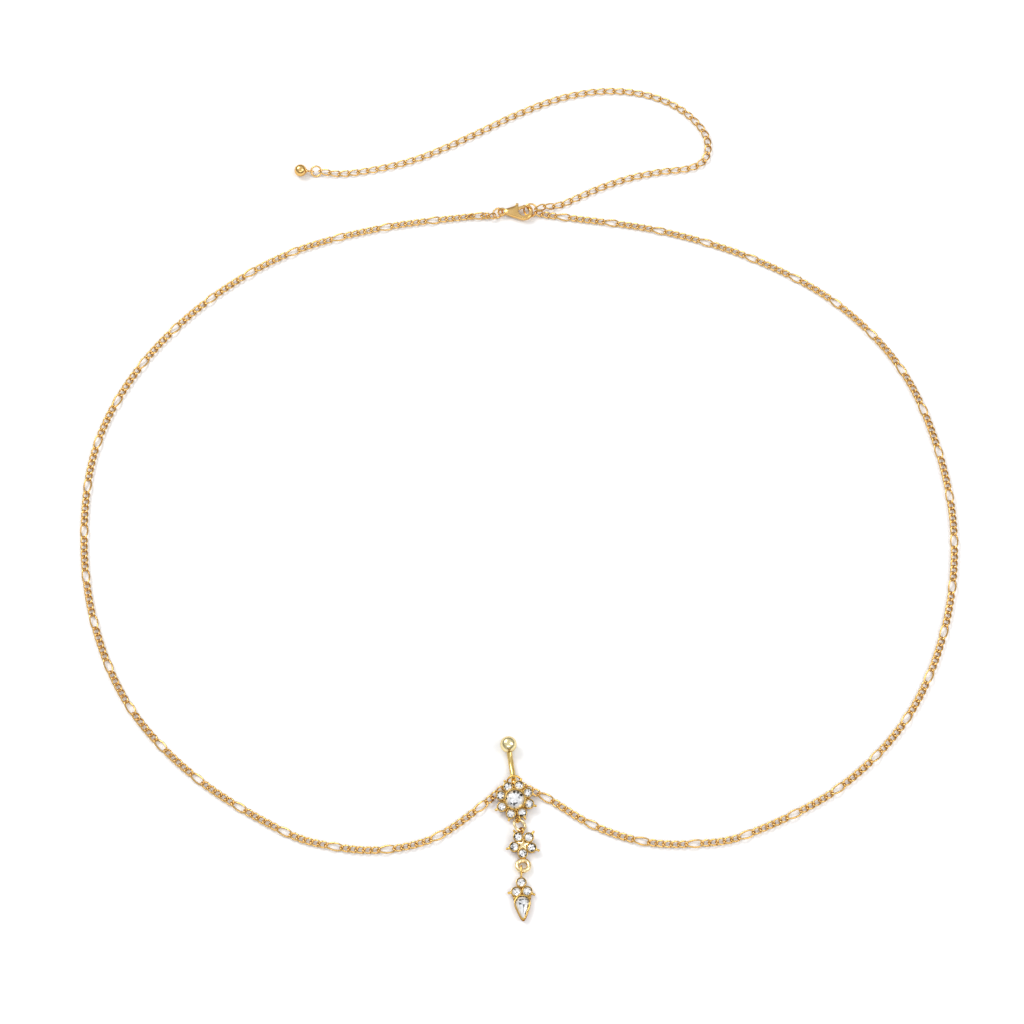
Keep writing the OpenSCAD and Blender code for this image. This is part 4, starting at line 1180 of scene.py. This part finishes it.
# %% [markdown]
# ## Cutting the stones
# A brilliant has a flat table, a crown of slanted facets, a thin girdle and a pavilion that
# runs to a point. The corners of those facets lie on a few rings. A convex hull over the
# rings finds every facet, as a cutter's laps do, and flat shading keeps each one crisp.
# Through its table a real stone shows broken mirror images of the facets below, so the table
# is divided into shards that lie flat in it, each with a painted reflection of its own.

# %% Hull over rings of points
SAME_FACET = radians(0.6)


def hull_of(bm, rings):
    """Wraps rings of points in a hull and joins its coplanar triangles into facets."""
    hull = bmesh.ops.convex_hull(bm, input=[vert for ring in rings for vert in ring])
    loose = [item for item in hull["geom_interior"] if isinstance(item, bmesh.types.BMVert)]
    bmesh.ops.delete(bm, geom=loose, context="VERTS")
    faces = [item for item in hull["geom"] if isinstance(item, bmesh.types.BMFace)
             and item.is_valid]
    edges = dict.fromkeys(edge for face in faces for edge in face.edges)
    bmesh.ops.dissolve_limit(bm, angle_limit=SAME_FACET, edges=list(edges),
                             verts=[vert for ring in rings for vert in ring if vert.is_valid])


print("triangles within", round(degrees(SAME_FACET), 1), "degrees are one facet")


# %% Brilliant and pear cuts
SMALL_CUT, LARGE_CUT = 8, 12


def cut_stone(bm, place, width, depth, length=None):
    """One stone with its girdle's foot at place. A length makes it a pear."""
    top = (GIRDLE + CROWN) * width
    main = SMALL_CUT if width < PEAR_WIDTH else LARGE_CUT
    half_step = 180 / main
    # segments, turn in degrees, share of the outline, height in millimetres
    levels = [(main, 0, TABLE, top), (main, half_step, 0.79, GIRDLE * width + 0.09 * width),
              (2 * main, 0, 1, GIRDLE * width), (2 * main, 0, 1, 0),
              (main, half_step, 0.5, -0.62 * depth), (6, 0, 0.03, -depth)]
    rings = []
    for segments, turn, share, lift in levels:
        spot = place @ spoke(turn)
        ring = bmesh.ops.create_circle(bm, segments=segments, radius=MM, matrix=spot)["verts"]
        if length is None:
            for vert in ring:
                vert.co = place.translation + (vert.co - place.translation) * width / 2 * share
        else:
            draw_to_pear(ring, place, width * share, length * share)
        bmesh.ops.translate(bm, vec=place.to_3x3() @ Vector((0, 0, lift)) * MM, verts=ring)
        rings.append(ring)
    hull_of(bm, rings)
    bmesh.ops.delete(bm, geom=[edge for edge in bm.edges if edge.is_wire], context="EDGES")


print("cuts of", SMALL_CUT, "and", LARGE_CUT, "main facets")


# %% Shards of the table
SHARD_BAND = 0.17


def split_tables(bm, place):
    """Divides each table into shards: a band of kites round a fan of triangles."""
    up = place.to_3x3() @ Vector((0, 0, 1))
    bm.normal_update()
    tables = [face for face in bm.faces
              if len(face.verts) >= SMALL_CUT and face.normal.dot(up) > 0.99]
    for table in tables:
        size = sqrt(table.calc_area())
        bmesh.ops.inset_region(bm, faces=[table], thickness=size * SHARD_BAND, depth=0)
        bmesh.ops.poke(bm, faces=[table])
    print(len(tables), "tables split")


# %% [markdown]
# ## Painted reflections of the facets
# Which facets flash and which go dark depends on all that stands round a stone, and working
# that out with true refraction would take far longer to render. Chance does it well: most
# facets are painted bright, some dark, and the seed keeps the same ones so in every render.
# In a flower the outer crown facets look away from the lamps over its middle, so they are
# painted dark more often, and each small stone shows a painted crescent of shade on its far
# side.

# %% Chance of a dark facet
chance = random.Random(7)
# Spread and least value of the painted facet reflections
TONE_SPREAD, LEAST_TONE = 0.18, 0.3
# Share of facets painted dark and their brightest value: in all, and as shade on outer crowns
DARK_SHARE, DARK_TONE = 0.12, 0.25
RIM_SHARE, RIM_TONE = 0.35, 0.12
RIM_FROM = 1.8


def faces_out(face, place):
    """True for a slanted crown facet that looks away from the middle of its setting."""
    away = face.calc_center_median() - place.translation
    up = place.to_3x3() @ Vector((0, 0, 1))
    flat = away - up * away.dot(up)
    return (flat.length > RIM_FROM * MM and 0.2 < face.normal.dot(up) < 0.95
            and face.normal.dot(flat.normalized()) > 0.3)


def stones_piece(name, bm, place, node, painted_dark_rims=False, tone=0.8):
    """Splits the tables, paints each facet's reflection and puts the stones in place."""
    bmesh.ops.recalc_face_normals(bm, faces=bm.faces)
    split_tables(bm, place)
    tones = bm.faces.layers.float.new(PAINTED_FACET_LIGHT)
    for face in bm.faces:
        face.smooth = False
        # Each facet is painted a reflection: mostly bright, some dark.
        face[tones] = min(1, max(LEAST_TONE, chance.gauss(tone, TONE_SPREAD)))
        if chance.random() < DARK_SHARE:
            face[tones] = chance.uniform(0, DARK_TONE)
        # Painted shade: a dark crescent on the outer crown facets of a flower's stones.
        if painted_dark_rims and chance.random() < RIM_SHARE and faces_out(face, place):
            face[tones] = chance.uniform(0, RIM_TONE)
    obj = mesh_object(name, bm, crystal)
    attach(obj, "waist_chain")
    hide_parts(node)
    print(name, len(obj.data.polygons), "facets")


print("tones spread by", TONE_SPREAD, "and", DARK_SHARE, "of the facets are dark")


# %% [markdown]
# ## Setting the stones
# A jeweller drops each stone into its cup and rolls the lip over its girdle. Here a stone is
# cut where it will sit, at the seat that the height of its cup gives, and all the stones of
# one setting become one object, as they are one node in the frame. The big stone stands
# alone in the middle of its flower, so it has no dark rim.

# %% Round stones
def round_spots(radius, angles):
    return [(radius * cos(radians(a)), radius * sin(radians(a))) for a in angles]


# name, node, place of the setting, spots in it, width of a stone and height of its cup
STONE_ROWS = [
    ("cut_big_stone", "big_stone", flower_place, [(0, 0)], BIG_STONE, BIG_CUP_HEIGHT),
    ("cut_flower_stones", "flower_stones", flower_place,
     round_spots(FLOWER_RADIUS, flower_angles), FLOWER_STONE, CUP_HEIGHT),
    ("cut_star_stones", "star_stones", star_place,
     round_spots(STAR_RADIUS, star_angles), STAR_STONE, CUP_HEIGHT),
    ("cut_drop_stones", "drop_stones", drop_place, drop_spots, DROP_STONE, CUP_HEIGHT),
]
for name, node, place, spots, width, height in STONE_ROWS:
    bm = bmesh.new()
    lift = seat_height(height, width)
    for x, y in spots:
        cut_stone(bm, place @ Matrix.Translation(Vector((x, y, lift)) * MM), width,
                  stone_depth(height, width))
    stones_piece(name, bm, place, node, painted_dark_rims=len(spots) > 1)

# %% Pear stone
# Mean brightness of the pear's painted facet reflections
PEAR_PAINTED_LIGHT = 0.66
bm = bmesh.new()
cut_stone(bm, pear_place @ spoke(0, 0, seat_height(CUP_HEIGHT, PEAR_WIDTH)), PEAR_WIDTH,
          stone_depth(CUP_HEIGHT, PEAR_WIDTH, PEAR_DEPTH_SHARE), length=PEAR_LENGTH)
stones_piece("cut_pear_stone", bm, pear_place, "pear_stone", tone=PEAR_PAINTED_LIGHT)
